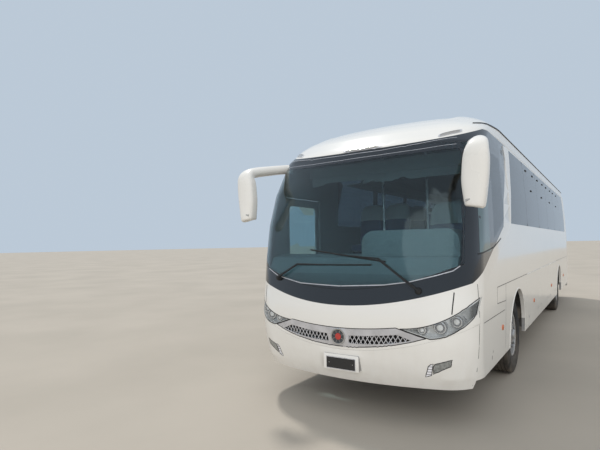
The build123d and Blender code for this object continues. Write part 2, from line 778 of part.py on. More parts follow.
# Swing post of the entrance door: a vertical post by the front jamb with two arms
ARM_Z = (1250.0, 590.0)
ARM_T = 30.0
EYE_R = 12.0
EYE_WALL = 14.0
with BuildPart() as door_arm:
    with Locations((-POST_X, POST_Y, (POST_TOP_Z + POST_FOOT_Z) / 2)):
        Cylinder(POST_R, POST_TOP_Z - POST_FOOT_Z)
    for level in ARM_Z:
        with Locations((-POST_X, POST_Y + ARM_LENGTH / 2, level)):
            Box(ARM_T, ARM_LENGTH, ARM_T)
        with Locations((-POST_X, POST_Y + ARM_LENGTH, level)):
            Cylinder(EYE_R + EYE_WALL, ARM_T)
            Cylinder(EYE_R + SHAFT_GAP, ARM_T * 2, mode=Mode.SUBTRACT)
save(door_arm, "door_arm")

# Brackets and pins on the door for the two arms
LUG_T = 20.0
LUG_W = 50.0
LUG_GAP = 11.0  # between a bracket and the arm's eye
LUG_X = (-DOOR_INNER_X - 7.0, 23.0 - POST_X)
with entrance_door:
    for level in ARM_Z:
        hub_y = POST_Y + ARM_LENGTH
        for step in (-1, 1):
            foot = level + step * (ARM_T / 2 + LUG_GAP)
            lug = block(
                *LUG_X, hub_y - LUG_W / 2, hub_y + LUG_W / 2, *sorted((foot, foot + step * LUG_T))
            )
            add(lug)
        with Locations((-POST_X, hub_y, level)):
            Cylinder(EYE_R, ARM_T + 2 * (LUG_GAP + LUG_T / 2 + 4))
save(entrance_door, "entrance_door")

# Frame: channel rails over both axles joined by low beams under the luggage bay
BEAM_BOTTOM_Z = 420.0
BEAM_TOP_Z = BAY_FLOOR_Z - BAY_FLOOR_T - FIT
FRAME_FRONT_Y = NOSE + 700.0
FRAME_REAR_Y = TAIL - 420.0
BULKHEAD_FRONT_Y = BAY_FRONT_Y - 60.0
BULKHEAD_REAR_Y = BAY_REAR_Y + 60.0
HANGER_T = 30.0
CROSS_FRONT = (NOSE + 900.0, NOSE + 1900.0)
CROSS_REAR = (REAR_AXLE_Y + 800.0,)
CROSS_R = 45.0
TOW_BEAM_T = 60.0
TOW_Z = (650.0, 710.0)
TOW_LENGTH = 130.0
TOW_HALF = 60.0
TOW_HOLE_R = 20.5
TOW_HOLE_BACK = 75.0  # ahead of the rails' front ends


def channel(y0, y1):
    """A pair of rails, open towards the middle."""
    with BuildPart(mode=Mode.PRIVATE) as rails:
        for side in (-1, 1):
            with Locations((side * RAIL_X, (y0 + y1) / 2, RAIL_BOTTOM_Z + RAIL_H / 2)):
                Box(RAIL_W, y1 - y0, RAIL_H)
            with Locations((side * (RAIL_X - RAIL_T), (y0 + y1) / 2, RAIL_BOTTOM_Z + RAIL_H / 2)):
                Box(RAIL_W, y1 - y0, RAIL_H - 2 * RAIL_T, mode=Mode.SUBTRACT)
    return rails.part


with BuildPart() as chassis_frame:
    add(channel(FRAME_FRONT_Y, BULKHEAD_FRONT_Y))
    add(channel(BULKHEAD_REAR_Y, FRAME_REAR_Y))
    for cross in CROSS_FRONT + CROSS_REAR:
        with Locations(Location((0, cross, RAIL_BOTTOM_Z + RAIL_H / 2), (0, 90, 0))):
            Cylinder(CROSS_R, 2 * RAIL_X + RAIL_W - RAIL_T)
    for y0, y1 in (
        (BULKHEAD_FRONT_Y, BULKHEAD_FRONT_Y + HANGER_T),
        (BULKHEAD_REAR_Y - HANGER_T, BULKHEAD_REAR_Y),
    ):
        rail_side = RAIL_X + RAIL_W / 2
        add(block(-rail_side, rail_side, y0, y1, BEAM_BOTTOM_Z, RAIL_BOTTOM_Z + RAIL_H))
    for side in (-1, 1):
        add(
            block(
                side * RAIL_X - RAIL_W / 2, side * RAIL_X + RAIL_W / 2,
                BULKHEAD_FRONT_Y, BULKHEAD_REAR_Y, BEAM_BOTTOM_Z, BEAM_TOP_Z,
            )
        )
    add(block(-rail_side, rail_side, FRAME_FRONT_Y - TOW_BEAM_T, FRAME_FRONT_Y, *TOW_Z))
    add(block(-TOW_HALF, TOW_HALF, FRAME_FRONT_Y - TOW_LENGTH, FRAME_FRONT_Y - TOW_BEAM_T, *TOW_Z))
    with Locations((0, FRAME_FRONT_Y - TOW_HOLE_BACK - TOW_HOLE_R, sum(TOW_Z) / 2)):
        Cylinder(TOW_HOLE_R, 2 * (TOW_Z[1] - TOW_Z[0]), mode=Mode.SUBTRACT)
save(chassis_frame, "chassis_frame")

# Luggage bay: floor and two end walls between the side panels
inside = envelope(WALL + FIT, DROP)
BAY_WALL_FRONT = BULKHEAD_FRONT_Y + HANGER_T + FIT
BAY_WALL_REAR = BULKHEAD_REAR_Y - HANGER_T - FIT
DECK_BOTTOM_Z = DECK_Z - DECK_T
with BuildPart() as luggage_bay:
    tray = block(
        -REACH, REACH, BAY_WALL_FRONT, BAY_WALL_REAR, BAY_FLOOR_Z - BAY_FLOOR_T, BAY_FLOOR_Z
    )
    add(inside & tray)
    for y0, y1 in (
        (BAY_WALL_FRONT, BAY_WALL_FRONT + BULKHEAD_T),
        (BAY_WALL_REAR - BULKHEAD_T, BAY_WALL_REAR),
    ):
        add(inside & block(-REACH, REACH, y0, y1, BAY_FLOOR_Z - BAY_FLOOR_T, DECK_BOTTOM_Z - FIT))
save(luggage_bay, "luggage_bay")

# Passenger deck and the lower platform beside the driver, joined by a riser with a step
DECK_FRONT_Y = NOSE + 1980.0
PLATFORM_FRONT_Y = NOSE + 330.0
WELL_X = -470.0  # inner edge of the stairwell
WELL_FRONT_Y = DOOR_FRONT_Y - 60.0
WELL_REAR_Y = DOOR_REAR_Y + 30.0
RISER_T = 30.0
AISLE_HALF = 290.0
AISLE_STEP = 300.0
PODIUM_X = 250.0
PODIUM_FRONT_Y = NOSE + 870.0
with BuildPart() as floors:
    add(inside & block(-REACH, REACH, DECK_FRONT_Y, TAIL, DECK_Z - DECK_T, DECK_Z))
    platform = inside & block(
        -REACH, REACH, PLATFORM_FRONT_Y, DECK_FRONT_Y - FIT, PLATFORM_Z - PLATFORM_T, PLATFORM_Z
    )
    well = block(-REACH, WELL_X, WELL_FRONT_Y, WELL_REAR_Y, 0, DECK_Z)
    add(platform - well)
    add(
        inside
        & block(
            -REACH, REACH, DECK_FRONT_Y - FIT - RISER_T, DECK_FRONT_Y - FIT, PLATFORM_Z + FIT, DECK_Z
        )
    )
    step_back = DECK_FRONT_Y - 2 * FIT - RISER_T
    add(
        block(
            -AISLE_HALF, PODIUM_X - FIT, step_back - AISLE_STEP, step_back,
            PLATFORM_Z + FIT, (PLATFORM_Z + DECK_Z) / 2,
        )
    )
    add(inside & block(PODIUM_X, REACH, PODIUM_FRONT_Y, step_back, PLATFORM_Z + FIT, PODIUM_Z))
save(floors, "floors")

# Entrance steps
STEP_COUNT = 3
STEP_BOTTOM_Z = 400.0
STEP_RISE = (PLATFORM_Z - STEP_BOTTOM_Z) / STEP_COUNT
STEP_OUTER_X = -1215.0
STEP_GO = (WELL_X - STEP_OUTER_X) / STEP_COUNT
STEP_T = 20.0


def stair_profile():
    """Treads and risers as one thin zigzag, drawn in the x and z plane."""
    top = []
    for index in range(STEP_COUNT):
        x = STEP_OUTER_X + index * STEP_GO
        z = STEP_BOTTOM_Z + index * STEP_RISE
        top += [(x, z), (x + STEP_GO, z)]
    top.append((WELL_X, PLATFORM_Z - PLATFORM_T - FIT))
    under = [(x + STEP_T, z - STEP_T) for x, z in top]
    under[-1] = (WELL_X + STEP_T, PLATFORM_Z - PLATFORM_T - FIT)
    under[0] = (STEP_OUTER_X, STEP_BOTTOM_Z - STEP_T)
    return top + under[::-1]


with BuildPart() as entrance_steps:
    with BuildSketch(Plane.XZ.offset(-WELL_FRONT_Y - FIT)):
        with BuildLine():
            Polyline(*stair_profile(), close=True)
        make_face()
    extrude(amount=-(WELL_REAR_Y - WELL_FRONT_Y - 2 * FIT))
save(entrance_steps, "entrance_steps")

# Wheel housings, a half ring over each wheel or pair
LINER_W = 800.0


def liner(side, axle):
    """One wheel housing."""
    with BuildPart(mode=Mode.PRIVATE) as ring:
        with Locations(Location((side * (LINER_X + LINER_W / 2), axle, TYRE_R), (0, 90, 0))):
            Cylinder(LINER_R + LINER_T, LINER_W)
            Cylinder(LINER_R, LINER_W + 100, mode=Mode.SUBTRACT)
        below = block(-REACH, REACH, axle - LINER_W, axle + LINER_W, 0, LINER_FOOT_Z)
        add(below, mode=Mode.SUBTRACT)
    return inside & ring.part


with BuildPart() as wheel_housings:
    for axle in (FRONT_AXLE_Y, REAR_AXLE_Y):
        for side in (-1, 1):
            add(liner(side, axle))
save(wheel_housings, "wheel_housings")

# Axles with the spring seats that carry the frame
BOSS_R = 44.0
BOSS_H = 110.0
BEAM_W = 90.0
BEAM_H = 100.0
BEAM_DROP = 75.0
SPRING_R = 105.0
TUBE_R = 78.0
BANJO_R = 190.0
REAR_FLANGE_X = 560.0
REAR_SPINDLE_END = 1040.0
with BuildPart() as axles:
    with Locations((0, FRONT_AXLE_Y, TYRE_R - BEAM_DROP)):
        Box(2 * KINGPIN_X - 260, BEAM_W, BEAM_H)
    for side in (-1, 1):
        with Locations((side * (KINGPIN_X - 90), FRONT_AXLE_Y, TYRE_R)):
            Box(180, BEAM_W, BEAM_H)
        with Locations((side * KINGPIN_X, FRONT_AXLE_Y, TYRE_R)):
            Cylinder(BOSS_R, BOSS_H)
            Cylinder(KINGPIN_R + SHAFT_GAP, BOSS_H + 20, mode=Mode.SUBTRACT)
        spring_foot = TYRE_R - BEAM_DROP + BEAM_H / 2
        with Locations((side * RAIL_X, FRONT_AXLE_Y, (spring_foot + RAIL_BOTTOM_Z - FIT) / 2)):
            Cylinder(SPRING_R, RAIL_BOTTOM_Z - FIT - spring_foot)
    with Locations(Location((0, REAR_AXLE_Y, TYRE_R), (0, 90, 0))):
        Cylinder(TUBE_R, 2 * REAR_FLANGE_X)
    with Locations(Location((0, REAR_AXLE_Y, TYRE_R), (90, 0, 0))):
        Cylinder(BANJO_R, 230)
    for side in (-1, 1):
        spindle = REAR_SPINDLE_END - REAR_FLANGE_X
        with Locations(
            Location((side * (REAR_SPINDLE_END - (spindle + 10) / 2), REAR_AXLE_Y, TYRE_R), (0, 90, 0))
        ):
            Cylinder(SPINDLE_R, spindle + 10)
        with Locations((side * RAIL_X, REAR_AXLE_Y, (TYRE_R + RAIL_BOTTOM_Z - FIT) / 2)):
            Cylinder(SPRING_R, RAIL_BOTTOM_Z - FIT - TYRE_R)
save(axles, "axles")

# Steering knuckles: fork round the beam's boss, kingpin and wheel spindle
FORK_T = 26.0
FORK_GAP = 1.0
FORK_REACH = 71.0
YOKE_T = 20.0
SPINDLE_END_X = 1150.0
for side, word in ((1, "left"), (-1, "right")):
    with BuildPart() as knuckle:
        for step in (-1, 1):
            level = TYRE_R + step * (BOSS_H / 2 + FORK_GAP + FORK_T / 2)
            with Locations((side * KINGPIN_X, FRONT_AXLE_Y, level)):
                Cylinder(BOSS_R, FORK_T)
            with Locations((side * (KINGPIN_X + FORK_REACH / 2), FRONT_AXLE_Y, level)):
                Box(FORK_REACH, 2 * BOSS_R, FORK_T)
        with Locations((side * (KINGPIN_X + FORK_REACH - YOKE_T / 2), FRONT_AXLE_Y, TYRE_R)):
            Box(YOKE_T, 2 * BOSS_R, BOSS_H + 2 * (FORK_GAP + FORK_T))
        with Locations((side * KINGPIN_X, FRONT_AXLE_Y, TYRE_R)):
            Cylinder(KINGPIN_R, BOSS_H + 2 * (FORK_GAP + FORK_T))
        root_x = KINGPIN_X + FORK_REACH - YOKE_T / 2
        with Locations(
            Location((side * (root_x + SPINDLE_END_X) / 2, FRONT_AXLE_Y, TYRE_R), (0, 90, 0))
        ):
            Cylinder(SPINDLE_R, SPINDLE_END_X - root_x)
    save(knuckle, f"knuckle_{word}")


# Wheels, drawn as sections and revolved round the axle line
BEAD_R = 286.0
SHOULDER_R = 492.0
TREAD_W = 250.0
TYRE_PROFILE = [
    # radius, distance from the tyre's middle
    (BEAD_R, TYRE_W / 2 - 30), (BEAD_R + 22, TYRE_W / 2 - 14), (380.0, TYRE_W / 2),
    (445.0, TYRE_W / 2 - 6), (SHOULDER_R, TREAD_W / 2), (TYRE_R, TREAD_W / 2 - 22),
]


def tyre(x_middle, axle_y):
    """One tyre round its axle line."""
    flank = [(x_middle + across, TYRE_R + radius) for radius, across in TYRE_PROFILE]
    other = [(x_middle - across, TYRE_R + radius) for radius, across in TYRE_PROFILE]
    with BuildPart(mode=Mode.PRIVATE) as ring:
        with BuildSketch(Plane.XZ.offset(-axle_y)):
            with BuildLine():
                Polyline(*flank, *other[::-1], close=True)
            make_face()
        revolve(axis=Axis((0, axle_y, TYRE_R), (1, 0, 0)))
    return ring.part


RIM_HALF = 117.0
RIM_T = 23.0
LIP_DROP = 5.0
DISC_T = 16.0
HUB_R = 112.0
CAP_R = 62.0
CAP_H = 34.0
HOLE_RING_R = 198.0
HOLE_R = 27.0
HOLES = 10
RING_INNER_R = 150.0
RING_OUTER_R = 232.0


def rim(x_middle, axle_y, outward, disc, dish, hub_in, hub_out):
    """One wheel, revolved round its axle line; outward is the side that it faces.

    disc, hub_in and hub_out are the middle of the bolt flange and the hub's two ends, from
    the tyre's middle; dish is how far the disc's outer edge stands back from its flange.
    """
    inner_r = BEAD_R - FIT - RIM_T
    outline = [
        # radius, distance outwards
        (0.0, hub_in), (0.0, hub_out), (CAP_R - 12, hub_out), (CAP_R, hub_out - 12),
        (CAP_R, hub_out - CAP_H), (HUB_R, hub_out - CAP_H), (HUB_R + 8, disc + DISC_T),
        (RING_INNER_R, disc + DISC_T / 2), (RING_OUTER_R, disc + DISC_T / 2),
        (inner_r, disc - dish + DISC_T / 2), (inner_r, RIM_HALF - LIP_DROP),
        (BEAD_R - FIT, RIM_HALF), (BEAD_R - FIT, -RIM_HALF), (inner_r, LIP_DROP - RIM_HALF),
        (inner_r, disc - dish - DISC_T / 2), (RING_OUTER_R, disc - DISC_T / 2),
        (HUB_R, disc - DISC_T / 2), (HUB_R, hub_in),
    ]
    with BuildPart(mode=Mode.PRIVATE) as wheel:
        with BuildSketch(Plane.XZ.offset(-axle_y)):
            with BuildLine():
                Polyline(
                    *[(x_middle + outward * t, TYRE_R + radius) for radius, t in outline],
                    close=True,
                )
            make_face()
        revolve(axis=Axis((0, axle_y, TYRE_R), (1, 0, 0)))
        with Locations(Location((x_middle + outward * disc, axle_y, TYRE_R), (0, 90, 0))):
            with PolarLocations(HOLE_RING_R, HOLES):
                Cylinder(HOLE_R, 4 * DISC_T, mode=Mode.SUBTRACT)
    return wheel.part


FRONT_RIM = (88.0, 34.0, -27.0, 148.0)  # disc, dish, hub_in, hub_out
REAR_RIM = (-98.0, -24.0, -170.0, 40.0)
BORE_OVER = 20.0  # the bores are cut past their hubs' inner ends
for side, word in ((1, "left"), (-1, "right")):
    with BuildPart() as front_tyre:
        add(tyre(side * WHEEL_X, FRONT_AXLE_Y))
    save(front_tyre, f"front_tyre_{word}")
    with BuildPart() as front_rim:
        add(rim(side * WHEEL_X, FRONT_AXLE_Y, side, *FRONT_RIM))
        bore = SPINDLE_END_X + FIT - (WHEEL_X + FRONT_RIM[2]) + BORE_OVER
        with Locations(
            Location((side * (SPINDLE_END_X + FIT - bore / 2), FRONT_AXLE_Y, TYRE_R), (0, 90, 0))
        ):
            Cylinder(SPINDLE_R + SHAFT_GAP, bore, mode=Mode.SUBTRACT)
    save(front_rim, f"front_rim_{word}")
    with BuildPart() as rear_tyres:
        add(tyre(side * WHEEL_X, REAR_AXLE_Y))
        add(tyre(side * (WHEEL_X - TWIN_PITCH), REAR_AXLE_Y))
    save(rear_tyres, f"rear_tyres_{word}")
    with BuildPart() as rear_rims:
        add(rim(side * WHEEL_X, REAR_AXLE_Y, side, *REAR_RIM))
        add(rim(side * (WHEEL_X - TWIN_PITCH), REAR_AXLE_Y, -side, *REAR_RIM))
        with Locations(
            Location((side * (REAR_SPINDLE_END + FIT) / 2, REAR_AXLE_Y, TYRE_R), (0, 90, 0))
        ):
            Cylinder(SPINDLE_R + SHAFT_GAP, REAR_SPINDLE_END + FIT, mode=Mode.SUBTRACT)
    save(rear_rims, f"rear_rims_{word}")

# Engine, a plain mass between the rear rails, on two cross feet
ENGINE_HALF = RAIL_X - RAIL_W / 2 - 10.0
ENGINE_Y = (TAIL - 1750.0, TAIL - 380.0)
ENGINE_Z = (560.0, 1180.0)
ENGINE_FEET_Y = (TAIL - 1500.0, TAIL - 650.0)
ENGINE_FOOT_W = 80.0
ENGINE_FOOT_T = 30.0
with BuildPart() as engine_block:
    add(block(-ENGINE_HALF, ENGINE_HALF, *ENGINE_Y, *ENGINE_Z))
    rail_top = RAIL_BOTTOM_Z + RAIL_H + FIT
    for y in ENGINE_FEET_Y:
        add(
            block(
                -RAIL_X - RAIL_W / 2, RAIL_X + RAIL_W / 2,
                y - ENGINE_FOOT_W / 2, y + ENGINE_FOOT_W / 2, rail_top, rail_top + ENGINE_FOOT_T,
            )
        )
save(engine_block, "engine_block")

# Dashboard across the cab, with the hump for the driver's gauges
DASH_HALF = 1120.0
DASH_PROFILE = [
    # distance behind the nose, z
    (360.0, 1280.0), (330.0, 1450.0), (420.0, 1620.0), (600.0, 1660.0), (840.0, 1640.0),
    (880.0, 1560.0), (860.0, 1300.0), (800.0, PLATFORM_Z + FIT), (560.0, PLATFORM_Z + FIT),
    (520.0, 1280.0),
]
HUMP_X = (60.0, 1120.0)
HUMP_Z = (1500.0, 1910.0)
HUMP_Y = (NOSE + 480.0, NOSE + 900.0)
HUMP_CORNER = 150.0
with BuildPart() as dashboard:
    profile = outline_yz([(NOSE + back, z) for back, z in DASH_PROFILE])
    add(inside & side_prism(profile, -DASH_HALF, DASH_HALF))
    with BuildSketch(Plane.XZ.offset(-HUMP_Y[0])):
        add(rounded(*HUMP_X, *HUMP_Z, HUMP_CORNER))
    extrude(amount=HUMP_Y[0] - HUMP_Y[1])
save(dashboard, "dashboard")

WHEEL_POS = (620.0, NOSE + 1130.0, 1760.0)
WHEEL_TILT = 32.0
STEERING_R = 225.0
GRIP_R = 16.0
SPOKE_W = 50.0
SPOKE_T = 14.0
HORN_R = 70.0
COLUMN_R = 32.0
COLUMN_LENGTH = 560.0
with BuildPart() as steering_wheel:
    upwards = (0, sin(radians(WHEEL_TILT)), cos(radians(WHEEL_TILT)))
    rim_plane = Plane(WHEEL_POS, x_dir=(1, 0, 0), z_dir=upwards)
    with BuildSketch(Plane(WHEEL_POS, x_dir=(1, 0, 0), z_dir=rim_plane.y_dir)):
        with Locations((STEERING_R, 0)):
            RegularPolygon(GRIP_R, 8)
    revolve(axis=Axis(WHEEL_POS, upwards))
    with Locations(rim_plane.location):
        Box(2 * STEERING_R - GRIP_R, SPOKE_W, SPOKE_T)
        Cylinder(HORN_R, 2 * SPOKE_T)
        with Locations((0, 0, -COLUMN_LENGTH / 2)):
            Cylinder(COLUMN_R, COLUMN_LENGTH)
    add(dashboard.part, mode=Mode.SUBTRACT)
save(steering_wheel, "steering_wheel")

# Seats: benches for two on their own legs, and the driver's seat
ROWS = 12
ROW_PITCH = 775.0
FIRST_ROW_Y = DECK_FRONT_Y + 620.0
SEAT_X = 330.0  # aisle side of each bench
SEAT_W = 435.0
SEAT_GAP = 25.0
CUSHION_Z = DECK_Z + 330.0
CUSHION_T = 120.0
SEAT_DEPTH = 460.0
BACK_T = 110.0
BACK_TOP_Z = DECK_Z + 1120.0
BACK_RAKE = 130.0
BENCH_BEAM = 60.0
LEG_T = 40.0
LEG_X = (520.0, 1035.0)
DRIVER_SEAT_X = (370.0, 870.0)
DRIVER_SEAT_Y = NOSE + 1430.0
DRIVER_CUSHION_Z = 1430.0
DRIVER_BACK_TOP_Z = 2300.0
DRIVER_PLINTH = (470.0, 770.0)


def seat_profile(y, cushion_z, back_top_z):
    """Cushion and back in side view; y is the cushion's front edge."""
    top = cushion_z + CUSHION_T
    rear = y + SEAT_DEPTH
    return outline_yz(
        [
            (y, cushion_z), (y, top), (rear - BACK_T, top), (rear - BACK_T + BACK_RAKE, back_top_z),
            (rear + BACK_RAKE, back_top_z), (rear, cushion_z),
        ]
    )


def bench(side, y):
    """Two seats on a cross beam with two legs."""
    inner = CUSHION_Z - BENCH_BEAM
    with BuildPart(mode=Mode.PRIVATE) as pair:
        for start in (SEAT_X, SEAT_X + SEAT_W + SEAT_GAP):
            near, far = sorted((side * start, side * (start + SEAT_W)))
            add(side_prism(seat_profile(y, CUSHION_Z, BACK_TOP_Z), near, far))
        near, far = sorted((side * SEAT_X, side * (SEAT_X + 2 * SEAT_W + SEAT_GAP)))
        add(block(near, far, y + BENCH_BEAM, y + SEAT_DEPTH - BENCH_BEAM, inner, CUSHION_Z))
        for x in LEG_X:
            leg = (side * x - LEG_T / 2, side * x + LEG_T / 2)
            add(block(*leg, y + BENCH_BEAM, y + SEAT_DEPTH - BENCH_BEAM, DECK_Z + FIT, inner))
    return pair.part


with BuildPart() as seats:
    for side in (-1, 1):
        pair = bench(side, FIRST_ROW_Y)
        with Locations(*[(0, row * ROW_PITCH, 0) for row in range(ROWS)]):
            add(pair)
    profile = seat_profile(DRIVER_SEAT_Y, DRIVER_CUSHION_Z, DRIVER_BACK_TOP_Z)
    add(side_prism(profile, *DRIVER_SEAT_X))
    add(
        block(
            *DRIVER_PLINTH, DRIVER_SEAT_Y + BENCH_BEAM, DRIVER_SEAT_Y + SEAT_DEPTH - BENCH_BEAM,
            PODIUM_Z + FIT, DRIVER_CUSHION_Z,
        )
    )
save(seats, "seats")

# Luggage racks over the seats
RACK_PROFILE = [
    # distance from the middle, z
    (820.0, 2700.0), (820.0, 2820.0), (850.0, 2820.0), (850.0, 2730.0), (1300.0, 2760.0),
    (1300.0, 2730.0),
]


def rack(side):
    """One luggage rack, running the length of the windows."""
    with BuildPart(mode=Mode.PRIVATE) as shelf:
        with BuildSketch(Plane.XZ.offset(-BAND_FRONT_Y)):
            with BuildLine():
                Polyline(*[(side * x, z) for x, z in RACK_PROFILE], close=True)
            make_face()
        extrude(amount=BAND_FRONT_Y - BAND_REAR_Y)
    return inside & shelf.part


with BuildPart() as luggage_racks:
    for side in (-1, 1):
        add(rack(side))
save(luggage_racks, "luggage_racks")

# Mirrors: a long pod each side, hung from a thick curved arm at the roof's front corner
MIRROR_OUTLINE = [
    (1250.0, 2075.0), (1417.0, 2100.0), (1456.0, 2310.0), (1475.0, 2600.0), (1420.0, 2720.0),
    (1314.0, 2650.0), (1240.0, 2490.0), (1227.0, 2290.0),
]
MIRROR_CORNER = 32.0
MIRROR_Y = (NOSE + 130.0, NOSE + 270.0)
MIRROR_EDGE = 38.0
MIRROR_RIM = 16.0
MIRROR_GLASS_T = 4.0
ARM_R = 52.0
ARM_BEND = 90.0
ARM_ROUTE = [
    # x, distance behind the nose, z
    (1160.0, 950.0, 2840.0), (1300.0, 600.0, 2800.0), (1400.0, 215.0, 2760.0),
    (1380.0, 190.0, 2580.0),
]


def mirror_face(side, grow):
    """A mirror pod's outline from the front, mirrored by side and grown by grow."""
    with BuildSketch(mode=Mode.PRIVATE) as shape:
        with BuildLine():
            Polyline(*[(side * x, z) for x, z in MIRROR_OUTLINE], close=True)
        make_face()
        fillet(shape.vertices(), MIRROR_CORNER)
        if grow:
            offset(amount=grow)
    return shape.sketch


def mirror_pod(side):
    """One pod with its front edge rounded off, and its arm."""
    with BuildPart(mode=Mode.PRIVATE) as pod:
        with BuildSketch(Plane.XZ.offset(-MIRROR_Y[0])):
            add(mirror_face(side, 0))
        extrude(amount=MIRROR_Y[0] - MIRROR_Y[1])
        fillet(pod.faces().sort_by(Axis.Y)[0].edges(), MIRROR_EDGE)
    route = [(side * x, NOSE + back, z) for x, back, z in ARM_ROUTE]
    with BuildLine(mode=Mode.PRIVATE) as path:
        FilletPolyline(*route, radius=ARM_BEND)
    with BuildSketch(Plane(route[0], z_dir=path.line % 0), mode=Mode.PRIVATE) as ring:
        Circle(ARM_R)
    return pod.part + sweep(ring.sketch, path=path.line, mode=Mode.PRIVATE)


with BuildPart() as mirrors:
    for side in (-1, 1):
        add(mirror_pod(side) - outer)
save(mirrors, "mirrors")

with BuildPart() as mirror_glasses:
    for side in (-1, 1):
        with BuildSketch(Plane.XZ.offset(-MIRROR_Y[1] - JOIN)):
            add(mirror_face(side, -MIRROR_RIM))
        extrude(amount=-MIRROR_GLASS_T)
save(mirror_glasses, "mirror_glasses")

# Air conditioning pod on the roof
POD_BASE = (1700.0, 2700.0, 220.0)  # width, length, corner radius
POD_TOP = (1400.0, 2350.0, 160.0)
POD_H = 190.0
POD_Y = 1500.0
with BuildPart() as roof_ac_unit:
    for level, size in ((FIT, POD_BASE), (POD_H, POD_TOP)):
        with BuildSketch(Plane.XY.offset(ROOF_TOP + level)):
            with Locations((0, POD_Y)):
                RectangleRounded(*size)
    loft()
save(roof_ac_unit, "roof_ac_unit")
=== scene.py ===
import json
import math

import bmesh
import bpy
from mathutils import Matrix, Vector
from mathutils.bvhtree import BVHTree

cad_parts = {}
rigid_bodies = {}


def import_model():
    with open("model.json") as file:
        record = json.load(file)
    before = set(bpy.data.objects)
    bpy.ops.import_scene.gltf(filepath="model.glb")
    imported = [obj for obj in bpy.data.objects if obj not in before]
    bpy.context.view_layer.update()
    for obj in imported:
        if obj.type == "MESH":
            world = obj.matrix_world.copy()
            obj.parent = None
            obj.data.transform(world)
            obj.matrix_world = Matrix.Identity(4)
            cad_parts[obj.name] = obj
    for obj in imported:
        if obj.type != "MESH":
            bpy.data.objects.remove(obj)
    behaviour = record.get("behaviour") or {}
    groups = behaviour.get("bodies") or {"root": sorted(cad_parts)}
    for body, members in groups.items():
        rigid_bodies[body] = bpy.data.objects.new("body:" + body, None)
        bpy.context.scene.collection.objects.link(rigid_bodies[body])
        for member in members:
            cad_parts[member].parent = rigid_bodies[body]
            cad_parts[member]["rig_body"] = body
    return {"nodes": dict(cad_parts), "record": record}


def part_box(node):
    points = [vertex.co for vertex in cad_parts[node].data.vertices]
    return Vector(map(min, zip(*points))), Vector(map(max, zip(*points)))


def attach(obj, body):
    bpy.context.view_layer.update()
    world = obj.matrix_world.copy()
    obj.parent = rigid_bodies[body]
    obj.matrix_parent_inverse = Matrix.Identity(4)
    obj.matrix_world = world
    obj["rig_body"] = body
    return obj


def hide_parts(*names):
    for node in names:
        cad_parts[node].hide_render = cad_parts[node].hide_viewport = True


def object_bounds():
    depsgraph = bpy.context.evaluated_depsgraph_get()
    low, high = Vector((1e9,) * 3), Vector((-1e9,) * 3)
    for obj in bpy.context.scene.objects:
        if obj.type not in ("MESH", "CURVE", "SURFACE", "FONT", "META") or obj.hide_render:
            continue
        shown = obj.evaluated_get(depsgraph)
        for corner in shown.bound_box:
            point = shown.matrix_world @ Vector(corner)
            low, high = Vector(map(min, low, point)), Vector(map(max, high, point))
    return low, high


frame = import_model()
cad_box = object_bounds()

# The bus: metres, nose towards -Y, driver's side +X, ground at z = 0
NOSE = cad_box[0].y
TAIL = cad_box[1].y
SIDES = ((1, "left"), (-1, "right"))
BODY = "coach"
SIDEWAYS = Vector((1, 0, 0))
BACKWARDS = Vector((0, 1, 0))
UP = Vector((0, 0, 1))


# Materials

class Nodes:
    """A node tree, with short ways to add nodes to it."""

    def __init__(self, tree):
        self.tree = tree

    def put(self, socket, value):
        """Set an input, or link it if value is an output."""
        if hasattr(value, "links"):
            self.tree.links.new(value, socket)
        else:
            socket.default_value = value

    def add(self, kind, inputs, **settings):
        """A new node: values for its inputs by name or number, and its settings."""
        node = self.tree.nodes.new("ShaderNode" + kind)
        for key, value in settings.items():
            setattr(node, key, value)
        for key, value in inputs.items():
            self.put(node.inputs[key], value)
        return node

    def math(self, operation, *values, clamp=False):
        """Combine values from left to right; a single value goes through the operation."""
        total = values[0]
        for value in values[1:] or (0.0,):
            node = self.add("Math", {0: total, 1: value}, operation=operation, use_clamp=clamp)
            total = node.outputs[0]
        return total


MATERIALS = {}


